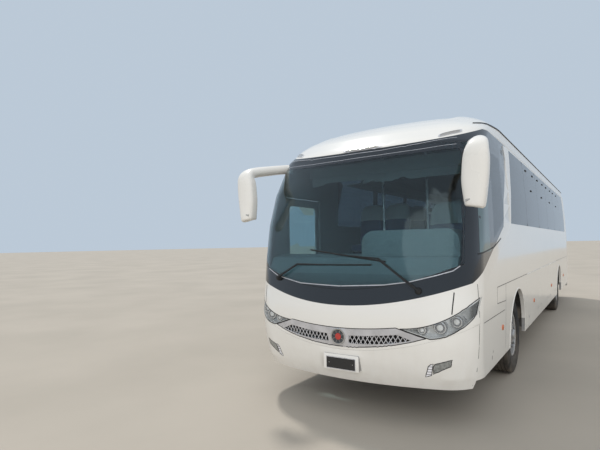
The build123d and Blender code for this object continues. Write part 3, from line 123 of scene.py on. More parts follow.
class Shader(Nodes):
    """A material, listed under its name, with ways to drive its values by nodes."""

    def __init__(self, name, color, rough, **sockets):
        MATERIALS[name] = bpy.data.materials.new(name)
        MATERIALS[name].use_nodes = True
        super().__init__(MATERIALS[name].node_tree)
        self.bsdf = self.tree.nodes["Principled BSDF"]
        sockets.update(Base_Color=(*color, 1), Roughness=rough)
        for key, value in sockets.items():
            self.drive(key.replace("_", " "), value)
        self.coords = self.add("TexCoord", {}).outputs["Object"]
        self.axes = self.add("SeparateXYZ", {0: self.coords}).outputs
        self.relief = None

    def drive(self, key, value):
        self.put(self.bsdf.inputs[key], value)

    def noise(self, scale, detail=4.0, stretch=(1, 1, 1)):
        """Fractal noise, 0 to 1; scale is in cells per metre."""
        place = self.add("Mapping", {"Scale": stretch, "Vector": self.coords}).outputs[0]
        inputs = {"Scale": scale, "Detail": detail, "Vector": place}
        return self.add("TexNoise", inputs).outputs["Fac"]

    def wave(self, index, pitch):
        """A sine along one axis."""
        return self.math("SINE", self.math("MULTIPLY", self.axes[index], 2 * math.pi / pitch))

    def span(self, value, low, high, to_low=0.0, to_high=1.0):
        """Map value from low..high to to_low..to_high, clamped."""
        inputs = dict(enumerate((value, low, high, to_low, to_high)))
        return self.add("MapRange", inputs, clamp=True).outputs[0]

    def mix(self, share, first, second):
        """Blend two colours by share."""
        first, second = (c if hasattr(c, "links") else (*c, 1) for c in (first, second))
        return self.add("Mix", {0: share, 6: first, 7: second}, data_type="RGBA").outputs[2]

    def mottle(self, scale, detail, first, second, low=0.3, high=0.7):
        """Soft patches of a second colour in the first."""
        return self.mix(self.span(self.noise(scale, detail), low, high), first, second)

    def bump(self, height, distance, strength=0.6):
        """Add a relief to the surface; distance is its depth in metres."""
        inputs = {"Strength": strength, "Distance": distance, "Height": height}
        if self.relief:
            inputs["Normal"] = self.relief
        self.relief = self.add("Bump", inputs).outputs[0]
        self.drive("Normal", self.relief)


def shade(color, share):
    return tuple(share * c for c in color)


DUST = (0.50, 0.42, 0.33)


def dusty(shader, base, amount, low=0.30, high=1.0):
    """Road dust that thickens towards the ground, in streaks and patches, and its share."""
    height = shader.span(shader.axes[2], low, high, 1.0, 0.0)
    patches = shader.span(shader.noise(3.5, 6, (1, 1, 2.5)), 0.35, 0.75)
    streaks = shader.span(shader.noise(14, 3, (1, 1, 0.12)), 0.4, 0.8)
    share = shader.math("MULTIPLY", height, shader.math("ADD", patches, streaks))
    share = shader.math("MULTIPLY", share, amount, clamp=True)
    return shader.mix(share, base, DUST), share


WHITE = (0.83, 0.815, 0.78)
BLACK_GLASS = (0.010, 0.013, 0.018)

# Black surround of the cab's glass: its lower edge rises from the middle and then backwards,
# its rear edge leans back in three stretches, and the white roof cap closes it above.
FOOT_Z = 1.15
FOOT_BOW = 0.1463
FOOT_BREAK = 0.42
FOOT_RISE = 0.405
PILLAR_LINES = [
    # distance behind the nose at z = 0, its gain for each metre of height
    (0.318, 0.750),
    (1.120, 0.330),
    (0.280, 0.700),
]
CAP_FRONT = 0.536
CAP_Z = 2.82
CAP_RISE = 0.29
CAP_TOP = 3.02
EDGE_SHARPNESS = 500.0


def black_zone(shader):
    """1 inside the black surround of the windscreen and cab windows, 0 outside."""
    x, y, z = shader.axes
    back = shader.math("SUBTRACT", y, NOSE)
    behind = shader.math("MAXIMUM", shader.math("SUBTRACT", back, FOOT_BREAK), 0.0)
    bow = shader.math("MULTIPLY", x, x, FOOT_BOW)
    foot = shader.math("ADD", bow, shader.math("MULTIPLY", behind, FOOT_RISE), FOOT_Z)
    edges = []
    for start, gain in PILLAR_LINES:
        edges.append(shader.math("ADD", shader.math("MULTIPLY", z, gain), start))
    pillar = shader.math("MAXIMUM", shader.math("MINIMUM", edges[0], edges[1]), edges[2])
    rise = shader.math("MULTIPLY", shader.math("SUBTRACT", back, CAP_FRONT), CAP_RISE)
    cap = shader.math("MINIMUM", shader.math("ADD", rise, CAP_Z), CAP_TOP)
    margins = [shader.math("SUBTRACT", *pair) for pair in ((z, foot), (pillar, back), (cap, z))]
    return shader.math("MULTIPLY", shader.math("MINIMUM", *margins), EDGE_SHARPNESS, clamp=True)


# Two dark rub marks low on the driver's side, ahead of the front wheel
SCUFFS = [
    # x, distance behind the nose, z, radius
    (1.273, 1.04, 0.615, 0.016),
    (1.271, 1.00, 0.560, 0.022),
]


def scuffed(shader, base):
    """Small dark rub marks."""
    for x, back, z, radius in SCUFFS:
        ends = {0: shader.coords, 1: (x, NOSE + back, z)}
        away = shader.add("VectorMath", ends, operation="DISTANCE").outputs["Value"]
        ragged = shader.math("ADD", away, shader.math("MULTIPLY", shader.noise(60), 0.02))
        share = shader.span(ragged, radius + 0.005, radius + 0.016, 0.6, 0.0)
        base = shader.mix(share, base, (0.1, 0.1, 0.1))
    return base


SLOT_PITCH = 0.045
SLOT_X = 0.62
SLOT_Z = (0.84, 1.33)
SLOT_FADE = 0.004


def slot_relief_and_shade(shader):
    """1 in the rows of narrow slots in the engine hatch, 0 elsewhere; it sinks them as relief and paints
    them dark as painted shade.
    """
    x, _, z = shader.axes
    slots = shader.span(shader.wave(2, SLOT_PITCH), 0.15, 0.35)
    wide = shader.span(shader.math("ABSOLUTE", x), SLOT_X - SLOT_FADE, SLOT_X, 1.0, 0.0)
    above = shader.span(z, SLOT_Z[0], SLOT_Z[0] + SLOT_FADE)
    below = shader.span(z, SLOT_Z[1], SLOT_Z[1] + SLOT_FADE, 1.0, 0.0)
    return shader.math("MULTIPLY", slots, wide, above, below)


def make_body_paint(name, cab=False, slotted=False):
    """White paint; the cab's has the black surround and rub marks, the hatch's air slots, whose dark colour
    is painted shade.
    """
    shader = Shader(name, WHITE, 0.22, Coat_Weight=0.5, Coat_Roughness=0.04)
    paint, dirt = dusty(shader, shader.mottle(0.8, 3, WHITE, shade(WHITE, 0.97)), 0.12)
    if cab:
        paint = shader.mix(black_zone(shader), scuffed(shader, paint), BLACK_GLASS)
    if slotted:
        slots = slot_relief_and_shade(shader)
        # The slots are painted near black: painted shade inside the sunk slots.
        paint = shader.mix(slots, paint, (0.02, 0.02, 0.02))
        shader.bump(shader.math("SUBTRACT", 1.0, slots), 0.006, 1.0)
    shader.drive("Base Color", paint)
    shader.drive("Roughness", shader.span(dirt, 0, 1, 0.2, 0.65))
    shader.bump(shader.noise(60, 2), 0.0003, 0.12)


def make_glass(name, tint, light=None):
    """A tinted pane. Lamps shine through it in the colour light, if that is given."""
    shader = Shader(name, tint, 0.02, Transmission_Weight=1.0, IOR=1.45)
    shader.drive("Base Color", shader.mottle(1.5, 3, tint, shade(tint, 0.93)))
    if light:
        clear = shader.add("BsdfTransparent", {"Color": (*light, 1)}).outputs[0]
        shadow = shader.add("LightPath", {}).outputs["Is Shadow Ray"]
        mixed = shader.add("MixShader", {0: shadow, 1: shader.bsdf.outputs[0], 2: clear})
        shader.put(shader.tree.nodes["Material Output"].inputs["Surface"], mixed.outputs[0])


def make_weave(name, color, other, pitch):
    """Cloth: two crossing threads as relief, with a slow change of tone."""
    shader = Shader(name, color, 0.85, Sheen_Weight=0.3)
    shader.drive("Base Color", shader.mottle(6, 4, color, other))
    x, y, z = (shader.wave(index, pitch) for index in range(3))
    shader.bump(shader.math("MULTIPLY", shader.math("ADD", x, y), 0.5, z), 0.0008)


def make_leds(name, pitch):
    """White light blocks with dark gaps between them."""
    shader = Shader(name, (0.86, 0.86, 0.9), 0.2)
    gap = shader.span(shader.wave(2, pitch), 0.72, 0.86)
    white = shader.mix(shader.noise(40), (0.90, 0.90, 0.93), (0.80, 0.80, 0.85))
    shader.drive("Base Color", shader.mix(gap, white, (0.10, 0.10, 0.11)))
    shader.bump(gap, 0.001)


def make_tread(name):
    """Rubber in two tones, with dust from the ground up."""
    shader = Shader(name, (0.02, 0.02, 0.02), 0.8)
    rubber = shader.mottle(25, 5, (0.024, 0.023, 0.022), (0.014, 0.014, 0.014), 0.35)
    shader.drive("Base Color", dusty(shader, rubber, 0.25, -0.1, 0.7)[0])
    shader.bump(shader.noise(130, 3), 0.0006)


def plain(name, color, rough, other=None, scale=25.0, relief=0.0005, dusted=0.0, **sockets):
    """A finish with a little variation of tone, some relief and, if asked, dust low down."""
    shader = Shader(name, color, rough, **sockets)
    paint = shader.mottle(scale, 5, color, other or shade(color, 0.8), 0.35)
    if dusted:
        paint = dusty(shader, paint, dusted)[0]
    shader.drive("Base Color", paint)
    rub = shader.noise(scale * 1.7, 3)
    shader.drive("Roughness", shader.span(rub, 0.3, 0.7, max(0.02, rough - 0.06), rough + 0.08))
    if relief:
        shader.bump(shader.noise(scale * 6, 3), relief)


make_body_paint("body_paint")
make_body_paint("cab_paint", cab=True)
make_body_paint("hatch_paint", slotted=True)
make_glass("screen_glass", (0.46, 0.61, 0.645), light=(0.52, 0.64, 0.67))
make_glass("side_glass", (0.06, 0.08, 0.10))
make_weave("seat_fabric", (0.07, 0.10, 0.19), (0.10, 0.14, 0.24), 0.006)
make_weave("head_cover", (0.62, 0.64, 0.66), (0.54, 0.56, 0.58), 0.004)
make_leds("led_white", 0.026)
make_tread("tread")
plain("lamp_glass", (0.75, 0.79, 0.81), 0.04, scale=3, relief=0, Alpha=0.10)
plain("tail_lens", (0.42, 0.015, 0.012), 0.12, Coat_Weight=0.6)
plain("amber_lens", (0.62, 0.16, 0.05), 0.15, Coat_Weight=0.6)
plain("clear_lens", (0.42, 0.42, 0.41), 0.1, scale=140, relief=0.001, Coat_Weight=0.8)
plain("cap_lens", (0.30, 0.28, 0.25), 0.12, scale=90, relief=0.001, Coat_Weight=0.8)
plain("fog_glass", (0.40, 0.41, 0.40), 0.12, (0.20, 0.21, 0.20), scale=45, Metallic=0.3)
plain("plate_black", (0.016, 0.017, 0.019), 0.3, scale=12, Coat_Weight=0.3)
plain("bright_trim", (0.62, 0.63, 0.65), 0.18, relief=0, Metallic=1.0)
plain("silver_trim", (0.66, 0.66, 0.69), 0.3, scale=8, Metallic=0.45)
plain("lamp_silver", (0.80, 0.82, 0.82), 0.2, (0.48, 0.50, 0.51), scale=22, Metallic=0.3)
plain("badge_red", (0.52, 0.045, 0.035), 0.25, scale=60, Coat_Weight=0.5)
plain("frame_paint", (0.035, 0.035, 0.037), 0.5, dusted=0.5)
plain("bay_panel", (0.30, 0.31, 0.32), 0.45, dusted=0.4)
plain("floor_panel", (0.16, 0.17, 0.18), 0.6)
plain("black_plastic", (0.022, 0.022, 0.023), 0.6, dusted=0.6)
plain("black_glass", BLACK_GLASS, 0.08, scale=3, relief=0, Coat_Weight=0.5)
plain("teal_glass", (0.13, 0.20, 0.215), 0.06, (0.09, 0.14, 0.16), scale=2.2, relief=0)
plain("engine_iron", (0.15, 0.155, 0.16), 0.55, dusted=0.5)
plain("dark_trim", (0.06, 0.065, 0.07), 0.55, scale=60)
plain("cabin_trim", (0.27, 0.29, 0.30), 0.6, scale=60)
plain("dash_trim", (0.26, 0.30, 0.31), 0.5, scale=60)
plain("lamp_dark", (0.09, 0.09, 0.095), 0.35, scale=60)
plain("lamp_chrome", (0.80, 0.81, 0.82), 0.12, scale=30, relief=0, Metallic=0.8)
plain("lamp_bulb", (0.78, 0.80, 0.80), 0.08, scale=200, Coat_Weight=0.8)
plain("light_trim", (0.46, 0.46, 0.44), 0.5, scale=60)
plain("white_plastic", WHITE, 0.25, (0.80, 0.785, 0.75), scale=3, relief=0)
plain("mirror", (0.85, 0.86, 0.87), 0.03, relief=0, Metallic=1.0)
plain("bright_steel", (0.5, 0.5, 0.5), 0.3, Metallic=1.0)
plain("wheel_silver", (0.50, 0.51, 0.52), 0.32, dusted=0.35, Metallic=0.6)
plain("seam_black", (0.012, 0.012, 0.012), 0.6)
plain("seam_grey", (0.055, 0.053, 0.05), 0.6)
plain("rubber", (0.016, 0.016, 0.017), 0.5, scale=80)


# The skin of the body, on which lines and trim are laid

DOORS = [node for node in frame["nodes"] if node.startswith("luggage_door")]
SHELL = DOORS + [
    "front_mask", "bumpers", "windscreen", "headlamps", "grille", "roof_shell", "left_side_wall",
    "right_side_wall", "windows", "rear_wall", "tail_lamps", "entrance_door",
    "entrance_door_glass", "engine_hatch",
]


def surface(meshes):
    """Some meshes as one surface to cast rays on."""
    verts, faces = [], []
    for mesh in meshes:
        start = len(verts)
        verts += [v.co.copy() for v in mesh.vertices]
        faces += [[start + index for index in face.vertices] for face in mesh.polygons]
    return BVHTree.FromPolygons(verts, faces)


SKIN = surface(frame["nodes"][node].data for node in SHELL)
SEAM_REACH = 0.006  # beside a point, past the widest seam
SEAM_DEPTH = 0.012  # a hit this much deeper than its neighbours fell into a seam


def cast(view, a, b):
    """Depth, place and normal of the skin at a, b in a front, rear, left or right view.

    Front and rear views take x and z, side views the distance behind the nose and z.
    """
    start, heading = {
        "front": ((a, NOSE - 1, b), BACKWARDS),
        "rear": ((a, TAIL + 1, b), -BACKWARDS),
        "left": ((3, NOSE + a, b), -SIDEWAYS),
        "right": ((-3, NOSE + a, b), SIDEWAYS),
    }[view]
    place, normal, _, depth = SKIN.ray_cast(Vector(start), heading)
    if place is None:
        return None
    return depth, place, -normal if normal.dot(heading) > 0 else normal


def touch(view, a, b):
    """The skin's point and normal at a, b in a view, also over a seam."""
    hits = [cast(view, a, b)]
    for da, db in ((1, 0), (-1, 0), (0, 1), (0, -1)):
        hits.append(cast(view, a + SEAM_REACH * da, b + SEAM_REACH * db))
    nearest = min((hit for hit in hits if hit), key=lambda hit: hit[0])
    if hits[0] and hits[0][0] < nearest[0] + SEAM_DEPTH:
        return hits[0][1:]
    return nearest[1:]


def between(first, last, share):
    """The point at a share of the way from first to last."""
    return tuple(p + (q - p) * share for p, q in zip(first, last))


def along(points, step=0.04):
    """Evenly spaced points on a run of straight lines."""
    spaced = []
    for first, last in zip(points, points[1:]):
        count = max(1, math.ceil(math.dist(first, last) / step))
        spaced += [between(first, last, index / count) for index in range(count)]
    return spaced + [tuple(points[-1])]


def circle(count, start=0.0):
    """Cosine and sine of even turns; start moves them by a share of one step."""
    turns = [2 * math.pi * (index + start) / count for index in range(count)]
    return [(math.cos(turn), math.sin(turn)) for turn in turns]


def arc(start, middle, end, count=24):
    """Points from start by middle to end, on less than half of the circle through them."""
    a, b, c = (complex(*point) for point in (start, middle, end))
    w = (c - a) / (b - a)
    centre = a + (b - a) * (w - abs(w) ** 2) / (2j * w.imag)
    turn = (c - centre) / (a - centre)
    part = math.atan2(turn.imag, turn.real) / count
    turns = [complex(math.cos(part * index), math.sin(part * index)) for index in range(count + 1)]
    points = [centre + (a - centre) * turn for turn in turns]
    return [(point.real, point.imag) for point in points]


def trace(view, points, step, lift=0.0):
    """Skin points and normals along a run of lines drawn in one view, held off by lift."""
    hits = [touch(view, *point) for point in along(points, step)]
    return [(place + normal * lift, normal) for place, normal in hits]


def spread(place, normal, heading, steps):
    """Points beside a place in one direction, with its normal."""
    return [(place + heading * step, normal) for step in steps]


# Ways to make faces

def join_rings(bm, rings, closed):
    """Skin a row of rings with four-sided faces."""
    for one, two in zip(rings, rings[1:] + rings[:1] if closed else rings[1:]):
        for index in range(len(one)):
            after = (index + 1) % len(one)
            bm.faces.new((one[index], one[after], two[after], two[index]))
    if not closed:
        bm.faces.new(rings[0][::-1])
        bm.faces.new(rings[-1])


def sweep(bm, rows, profile, closed=False):
    """Carry a closed profile of (across, up) points along rows of (place, normal)."""
    rings = []
    last = len(rows) - 1
    for index, (place, normal) in enumerate(rows):
        before = rows[index - 1 if closed else max(index - 1, 0)][0]
        after = rows[(index + 1) % len(rows) if closed else min(index + 1, last)][0]
        across = normal.cross(after - before).normalized()
        rings.append([bm.verts.new(place + across * a + normal * u) for a, u in profile])
    join_rings(bm, rings, closed)


def bar(foot, depth, top, lift):
    """Section of a bar: half widths of its foot and top, how far it goes in and stands out."""
    return [(-foot, -depth), (foot, -depth), (top, lift), (-top, lift)]


def strip(bm, view, points, width, lift, step=0.04, closed=False):
    """A flat strip along a line on the skin; a closed line ends where it starts."""
    rows = trace(view, points, step)
    profile = bar(width / 2, 0.002, width / 2, lift)
    sweep(bm, rows[:-1] if closed else rows, profile, closed)


def tube(bm, points, radius, sides=14):
    """A round bar along points."""
    points = [Vector(point) for point in points]
    normal = (points[1] - points[0]).orthogonal().normalized()
    rows = []
    for index, place in enumerate(points):
        heading = points[min(index + 1, len(points) - 1)] - points[max(index - 1, 0)]
        heading.normalize()
        normal = (normal - heading * normal.dot(heading)).normalized()
        rows.append((place, normal.copy()))
    sweep(bm, rows, [(radius * c, radius * s) for c, s in circle(sides)])


def lathe(bm, centre, axis, outline, steps):
    """Turn an outline of (radius, distance along the axis) points round an axis.

    An outline that starts on the axis ends there too, and any other is closed.
    """
    centre, axis = Vector(centre), Vector(axis).normalized()
    side = axis.orthogonal().normalized()
    up = axis.cross(side)
    rings = []
    for c, s in circle(steps):
        out = side * c + up * s
        rings.append([bm.verts.new(centre + axis * far + out * radius) for radius, far in outline])
    count = len(outline)
    for one, two in zip(rings, rings[1:] + rings[:1]):
        for index in range(count if outline[0][0] > 0 else count - 1):
            after = (index + 1) % count
            bm.faces.new((one[index], one[after], two[after], two[index]))


def patch(bm, grid, lift, depth=0.002, closed=False):
    """A thin closed shell over a grid of skin points; closed joins its last row to its first."""
    layers = []
    for level in (lift, -depth):
        layers.append([[bm.verts.new(p + n * level) for p, n in row] for row in grid])
    top, low = layers
    rows, cols = len(grid), len(grid[0])
    for i in range(rows if closed else rows - 1):
        k = (i + 1) % rows
        for j in range(cols - 1):
            bm.faces.new((top[i][j], top[i][j + 1], top[k][j + 1], top[k][j]))
            bm.faces.new((low[i][j], low[k][j], low[k][j + 1], low[i][j + 1]))
        for j in (0, cols - 1):
            bm.faces.new((top[i][j], top[k][j], low[k][j], low[i][j]))
    if not closed:
        for i in (0, rows - 1):
            for j in range(cols - 1):
                bm.faces.new((top[i][j], top[i][j + 1], low[i][j + 1], low[i][j]))


def block(bm, low, high):
    """A box between two corners."""
    xs, ys, zs = zip(low, high)
    corners = [bm.verts.new((x, y, z)) for z in zs for y in ys for x in xs]
    for ring in ((0, 2, 3, 1), (4, 5, 7, 6), (0, 1, 5, 4), (1, 3, 7, 5), (3, 2, 6, 7), (2, 0, 4, 6)):
        bm.faces.new([corners[index] for index in ring])


def pillow(bm, low, high, lean=0.0, cells=6, square=5.0):
    """A crowned pad that fills a box; lean moves its top back. Returns its faces."""
    low, high = Vector(low), Vector(high)
    middle, half = (low + high) / 2, (high - low) / 2
    made, faces = {}, []

    def vert(key):
        if key not in made:
            x, y, z = (2 * step / cells - 1 for step in key)
            size = (abs(x) ** square + abs(y) ** square + abs(z) ** square) ** (1 / square)
            x, y, z = x / size, y / size, z / size
            shift = lean * (z + 1) / 2
            made[key] = bm.verts.new(middle + Vector((x * half.x, y * half.y + shift, z * half.z)))
        return made[key]

    for axis in range(3):
        for end in (0, cells):
            for a in range(cells):
                for b in range(cells):
                    ring = [(a, b), (a + 1, b), (a + 1, b + 1), (a, b + 1)]
                    keys = [pair[:axis] + (end,) + pair[axis:] for pair in ring]
                    faces.append(bm.faces.new([vert(key) for key in keys]))
    return faces


# Pieces

def new_piece(name, bm, slot, material=None, body=BODY, smooth=35.0, bevel=0.0):
    """Turn a bmesh into an object of the bus. Its finish is its slot's own, if none is given."""
    bmesh.ops.remove_doubles(bm, verts=bm.verts, dist=2e-6)
    bmesh.ops.recalc_face_normals(bm, faces=bm.faces)
    mesh = bpy.data.meshes.new(name)
    bm.to_mesh(mesh)
    bm.free()
    for face in mesh.polygons:
        face.use_smooth = True
    mesh.set_sharp_from_angle(angle=math.radians(smooth))
    piece = bpy.data.objects.new(name, mesh)
    bpy.context.scene.collection.objects.link(piece)
    if bevel:
        edge = piece.modifiers.new("edge", "BEVEL")
        edge.width = bevel
        edge.segments = 2
        edge.limit_method = "ANGLE"
        edge.angle_limit = math.radians(smooth)
        edge.harden_normals = True
    for finish in material if isinstance(material, list) else [material or slot]:
        mesh.materials.append(MATERIALS[finish])
    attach(piece, body)
    return piece


SLOTS = {part["node"]: part["material_slot"] for part in frame["record"]["subparts"]}


def node_body(node):
    return frame["nodes"][node]["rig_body"]


def node_mesh(node):
    """A node's mesh as a welded bmesh."""
    bm = bmesh.new()
    bm.from_mesh(frame["nodes"][node].data)
    bmesh.ops.remove_doubles(bm, verts=bm.verts, dist=1e-5)
    return bm


def dress(node, material=None, bevel=0.002, smooth=30.0, paint=None):
    """A finished copy of a CAD node; paint may give a face another material by its place."""
    bm = node_mesh(node)
    materials = [material or SLOTS[node]]
    if paint:
        for face in bm.faces:
            name = paint(face.calc_center_median(), face.normal) or materials[0]
            if name not in materials:
                materials.append(name)
            face.material_index = materials.index(name)
    piece = new_piece("skin_" + node, bm, SLOTS[node], materials, node_body(node), smooth, bevel)
    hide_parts(node)


HEART_Z = 1.9
HEART_END = 1.5  # from nose and tail
OUTER_COSINE = 0.15  # an outer face points away from the heart line by at least this
CABIN_Z = 1.3
GLASS_CORNER = (1.1, 1.5)  # x and z from which a side wall can lie under glass
GLASS_DEPTH = 0.004


def shell_paint(centre, normal):
    """The inside of a body panel is trim, and what lies under glass is black."""
    y = min(max(centre.y, NOSE + HEART_END), TAIL - HEART_END)
    if (centre - Vector((0, y, HEART_Z))).normalized().dot(normal) <= OUTER_COSINE:
        return "cabin_trim" if centre.z > CABIN_Z else "bay_panel"
    if abs(centre.x) > GLASS_CORNER[0] and centre.z > GLASS_CORNER[1]:
        hit = cast("left" if centre.x > 0 else "right", centre.y - NOSE, centre.z)
        if hit and abs(hit[1].x) - abs(centre.x) > GLASS_DEPTH:
            return "seam_black"
    return None


TAIL_LIGHT_X = 1.115
TAIL_LIGHT_R = 0.079
TAIL_LIGHTS = {0.960: "clear_lens", 1.165: "tail_lens", 1.370: "amber_lens"}  # by height


def tail_paint(centre, normal):
    """Each round tail light in its colour, in a black frame."""
    for z, name in TAIL_LIGHTS.items():
        if math.hypot(abs(centre.x) - TAIL_LIGHT_X, centre.z - z) < TAIL_LIGHT_R:
            return name
    return None


BADGE = (0.0, 0.835)
BADGE_R = 0.084
GRILLE_HALF = 0.74
MESH_DEPTH = 0.004


def grille_paint(centre, normal):
    """The grille's sunk mesh and the badge's recess are of another metal than its frame."""
    if math.dist((centre.x, centre.z), BADGE) < BADGE_R + 0.002:
        return "bright_trim"
    sunk = centre.y - cast("front", centre.x, centre.z)[1].y
    if (sunk > MESH_DEPTH or normal.y > -0.5) and abs(centre.x) < GRILLE_HALF:
        return "bright_trim"
    return None


TYRES = [node for node in frame["nodes"] if "tyre" in node]
OWN_PIECES = ["headlamps", "seats", "mirrors"] + TYRES
FINISHES = {
    "roof_ac_unit": dict(material="body_paint", bevel=0.0),
    "engine_hatch": dict(material="hatch_paint", paint=shell_paint),
    "dashboard": dict(material="dash_trim", bevel=0.03),
    "windows": dict(bevel=0.0, smooth=12.0),
    "tail_lamps": dict(material="black_plastic", bevel=0.001, paint=tail_paint),
    "grille": dict(material="silver_trim", bevel=0.001, paint=grille_paint),
}
for node in ("front_mask", "left_side_wall", "right_side_wall", "roof_shell", "entrance_door"):
    FINISHES[node] = dict(material="cab_paint", paint=shell_paint)
for node in ("bumpers", "rear_wall"):
    FINISHES[node] = dict(paint=shell_paint)
for node in ("windscreen", "entrance_door_glass"):
    FINISHES[node] = dict(material="screen_glass", bevel=0.001)
for node in frame["nodes"]:
    if node not in OWN_PIECES:
        dress(node, **FINISHES.get(node, {}))


# Headlamps and bumper lamps, from the CAD solids with a finish for each

COVER_VOLUME = 0.0008  # a lamp's clear cover holds less than this, its housing more
BUMPER_LAMP_TOP = 0.70
RUNNING_LIGHT_END = 0.94
LAMP_FINISHES = {
    "housing": ["lamp_silver", "bright_trim"],
    "cover": ["lamp_glass"],
    "running": ["led_white"],
    "fog": ["fog_glass"],
}
LAMP_UNITS = [
    # x, z, radius
    (0.832, 0.950, 0.038),
    (0.985, 0.973, 0.056),
    (1.116, 1.022, 0.050),
]
UNIT_PARTS = [
    # name, finish, steps, outlines of (share of the drum's radius, metres more, metres behind)
    ("rings", "lamp_chrome", 32, [
        [(1, -0.011, 0.002), (1, -0.008, -0.005), (1, -0.001, -0.004), (1, 0.001, 0.002),
         (1, 0.001, 0.010), (1, -0.011, 0.006)],
    ]),
    ("dark", "lamp_dark", 32, [
        [(0.5, 0, -0.001), (1, -0.009, -0.001), (1, -0.009, 0.003), (0.5, 0, 0.003)],
        [(1, 0.002, 0.010), (1, 0.010, 0.012), (1, 0.010, 0.016), (1, 0.002, 0.016)],
    ]),
    ("domes", "lamp_bulb", 28, [
        [(0, 0, 0.002), (0.52, 0, 0.002), (0.52, 0, -0.003), (0.40, 0, -0.007),
         (0.22, 0, -0.009), (0, 0, -0.010)],
    ]),
]


def islands(bm):
    """Lists of faces that hang together."""
    seen = set()
    for first in bm.faces:
        if first in seen:
            continue
        seen.add(first)
        group = [first]
        for face in group:
            for edge in face.edges:
                for other in edge.link_faces:
                    if other not in seen:
                        seen.add(other)
                        group.append(other)
        yield group


def face_set_mesh(faces):
    """A new bmesh from some faces of another."""
    bm = bmesh.new()
    made = {}
    for face in faces:
        for vert in face.verts:
            if vert not in made:
                made[vert] = bm.verts.new(vert.co)
        bm.faces.new([made[vert] for vert in face.verts])
    return bm


def in_unit(centre):
    """Whether a face belongs to one of the housing's round drums."""
    return any(math.dist((abs(centre.x), centre.z), (x, z)) < r - 0.001 for x, z, r in LAMP_UNITS)


def make_lamps():
    """One piece for each kind of lamp solid. Returns the housings."""
    source = node_mesh("headlamps")
    groups = {kind: [] for kind in LAMP_FINISHES}
    for group in islands(source):
        part = face_set_mesh(group)
        if max(vert.co.z for vert in part.verts) < BUMPER_LAMP_TOP:
            end = max(abs(vert.co.x) for vert in part.verts)
            kind = "running" if end < RUNNING_LIGHT_END else "fog"
        else:
            kind = "cover" if abs(part.calc_volume()) < COVER_VOLUME else "housing"
        groups[kind] += group
        part.free()
    pieces = []
    for kind, finishes in LAMP_FINISHES.items():
        bm = face_set_mesh(groups[kind])
        if kind == "housing":
            for face in bm.faces:
                face.material_index = int(in_unit(face.calc_center_median()))
        pieces.append(new_piece("lamp_" + kind, bm, "lamp_glass", finishes, smooth=30, bevel=0.0008))
    source.free()
    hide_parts("headlamps")
    return pieces[0]


def make_units(housing):
    """On each drum of a headlamp: a chrome ring, two dark rings and a domed lens."""
    drums = surface([housing.data])
    for name, finish, steps, shapes in UNIT_PARTS:
        bm = bmesh.new()
        for side, _ in SIDES:
            for x, z, radius in LAMP_UNITS:
                foot = drums.ray_cast(Vector((side * x, NOSE - 1, z)), BACKWARDS)[0]
                for shape in shapes:
                    outline = [(radius * share + more, far) for share, more, far in shape]
                    lathe(bm, foot, BACKWARDS, outline, steps)
        new_piece("lamp_" + name, bm, "lamp_glass", finish)


make_units(make_lamps())


# Lines of trim, seams and seals on the skin, and dark strips that paint shadow gaps

LAMP_OUTLINE = (
    [(0.640, 0.955)]
    + arc((0.905, 0.868), (1.140, 0.948), (1.268, 1.086))
    + arc((1.289, 1.236), (1.150, 1.116), (0.640, 0.955))
)
BUMPER_LAMPS = (
    [(0.928, 0.631), (1.078, 0.678), (1.060, 0.612), (0.903, 0.530), (0.928, 0.631)],
    [(0.869, 0.607), (0.915, 0.635), (0.888, 0.519), (0.833, 0.499), (0.869, 0.607)],
)
GRILLE_TOP = ((-0.600, 0.962), (0.0, 0.926), (0.600, 0.962))
GRILLE_FOOT = ((-0.870, 0.872), (0.0, 0.732), (0.870, 0.872))
GRILLE_END = (GRILLE_TOP[2], GRILLE_FOOT[2])
MASK_END = ((1.108, 1.300), (1.092, 1.100))


def make_front_lines():
    """Dark strips round lamps and grille, which paint the shadow gaps at their edges, and the seams of the
    mask.
    """
    bm = bmesh.new()
    # Round the grille and the lamps the dark strips are painted shadow gaps; the MASK_END strips are seams
    # of the mask.
    for line in (GRILLE_TOP, GRILLE_FOOT):
        strip(bm, "front", arc(*line, 40), 0.008, 0.0006)
    loops = [(LAMP_OUTLINE, 0.009, 0.05)] + [(outline, 0.007, 0.03) for outline in BUMPER_LAMPS]
    for side, _ in SIDES:
        for outline, width, step in loops:
            strip(bm, "front", [(side * x, z) for x, z in outline], width, 0.0012, step, True)
        for line, width, lift in ((GRILLE_END, 0.008, 0.0006), (MASK_END, 0.011, 0.0008)):
            strip(bm, "front", [(side * x, z) for x, z in line], width, lift)
    new_piece("front_shadow_gaps_and_seams", bm, "black_plastic", "rubber")


make_front_lines()

MASK_SEAM = [(0.480, 1.365), (0.478, 0.400)]
HATCH_SEAMS = [
    # on the driver's side, ahead of the front wheel
    [(0.470, 0.980), (1.700, 0.967)],
    [(1.760, 1.267), (1.760, 0.450)],
    [(1.250, 1.267), (1.250, 1.089), (1.700, 1.070), (1.760, 1.070)],
]
WAIST_LINES = [
    # where the luggage doors leave the waist line off
    [(1.250, 1.267), (3.492, 1.267)],
    [(8.288, 1.267), (11.950, 1.262)],
]


def make_side_lines():
    bm = bmesh.new()
    for side, view in SIDES:
        for line in WAIST_LINES + [MASK_SEAM] + (HATCH_SEAMS if side > 0 else []):
            strip(bm, view, line, 0.007, 0.0006, 0.15)
    new_piece("side_seams", bm, "black_plastic", "seam_grey")


make_side_lines()
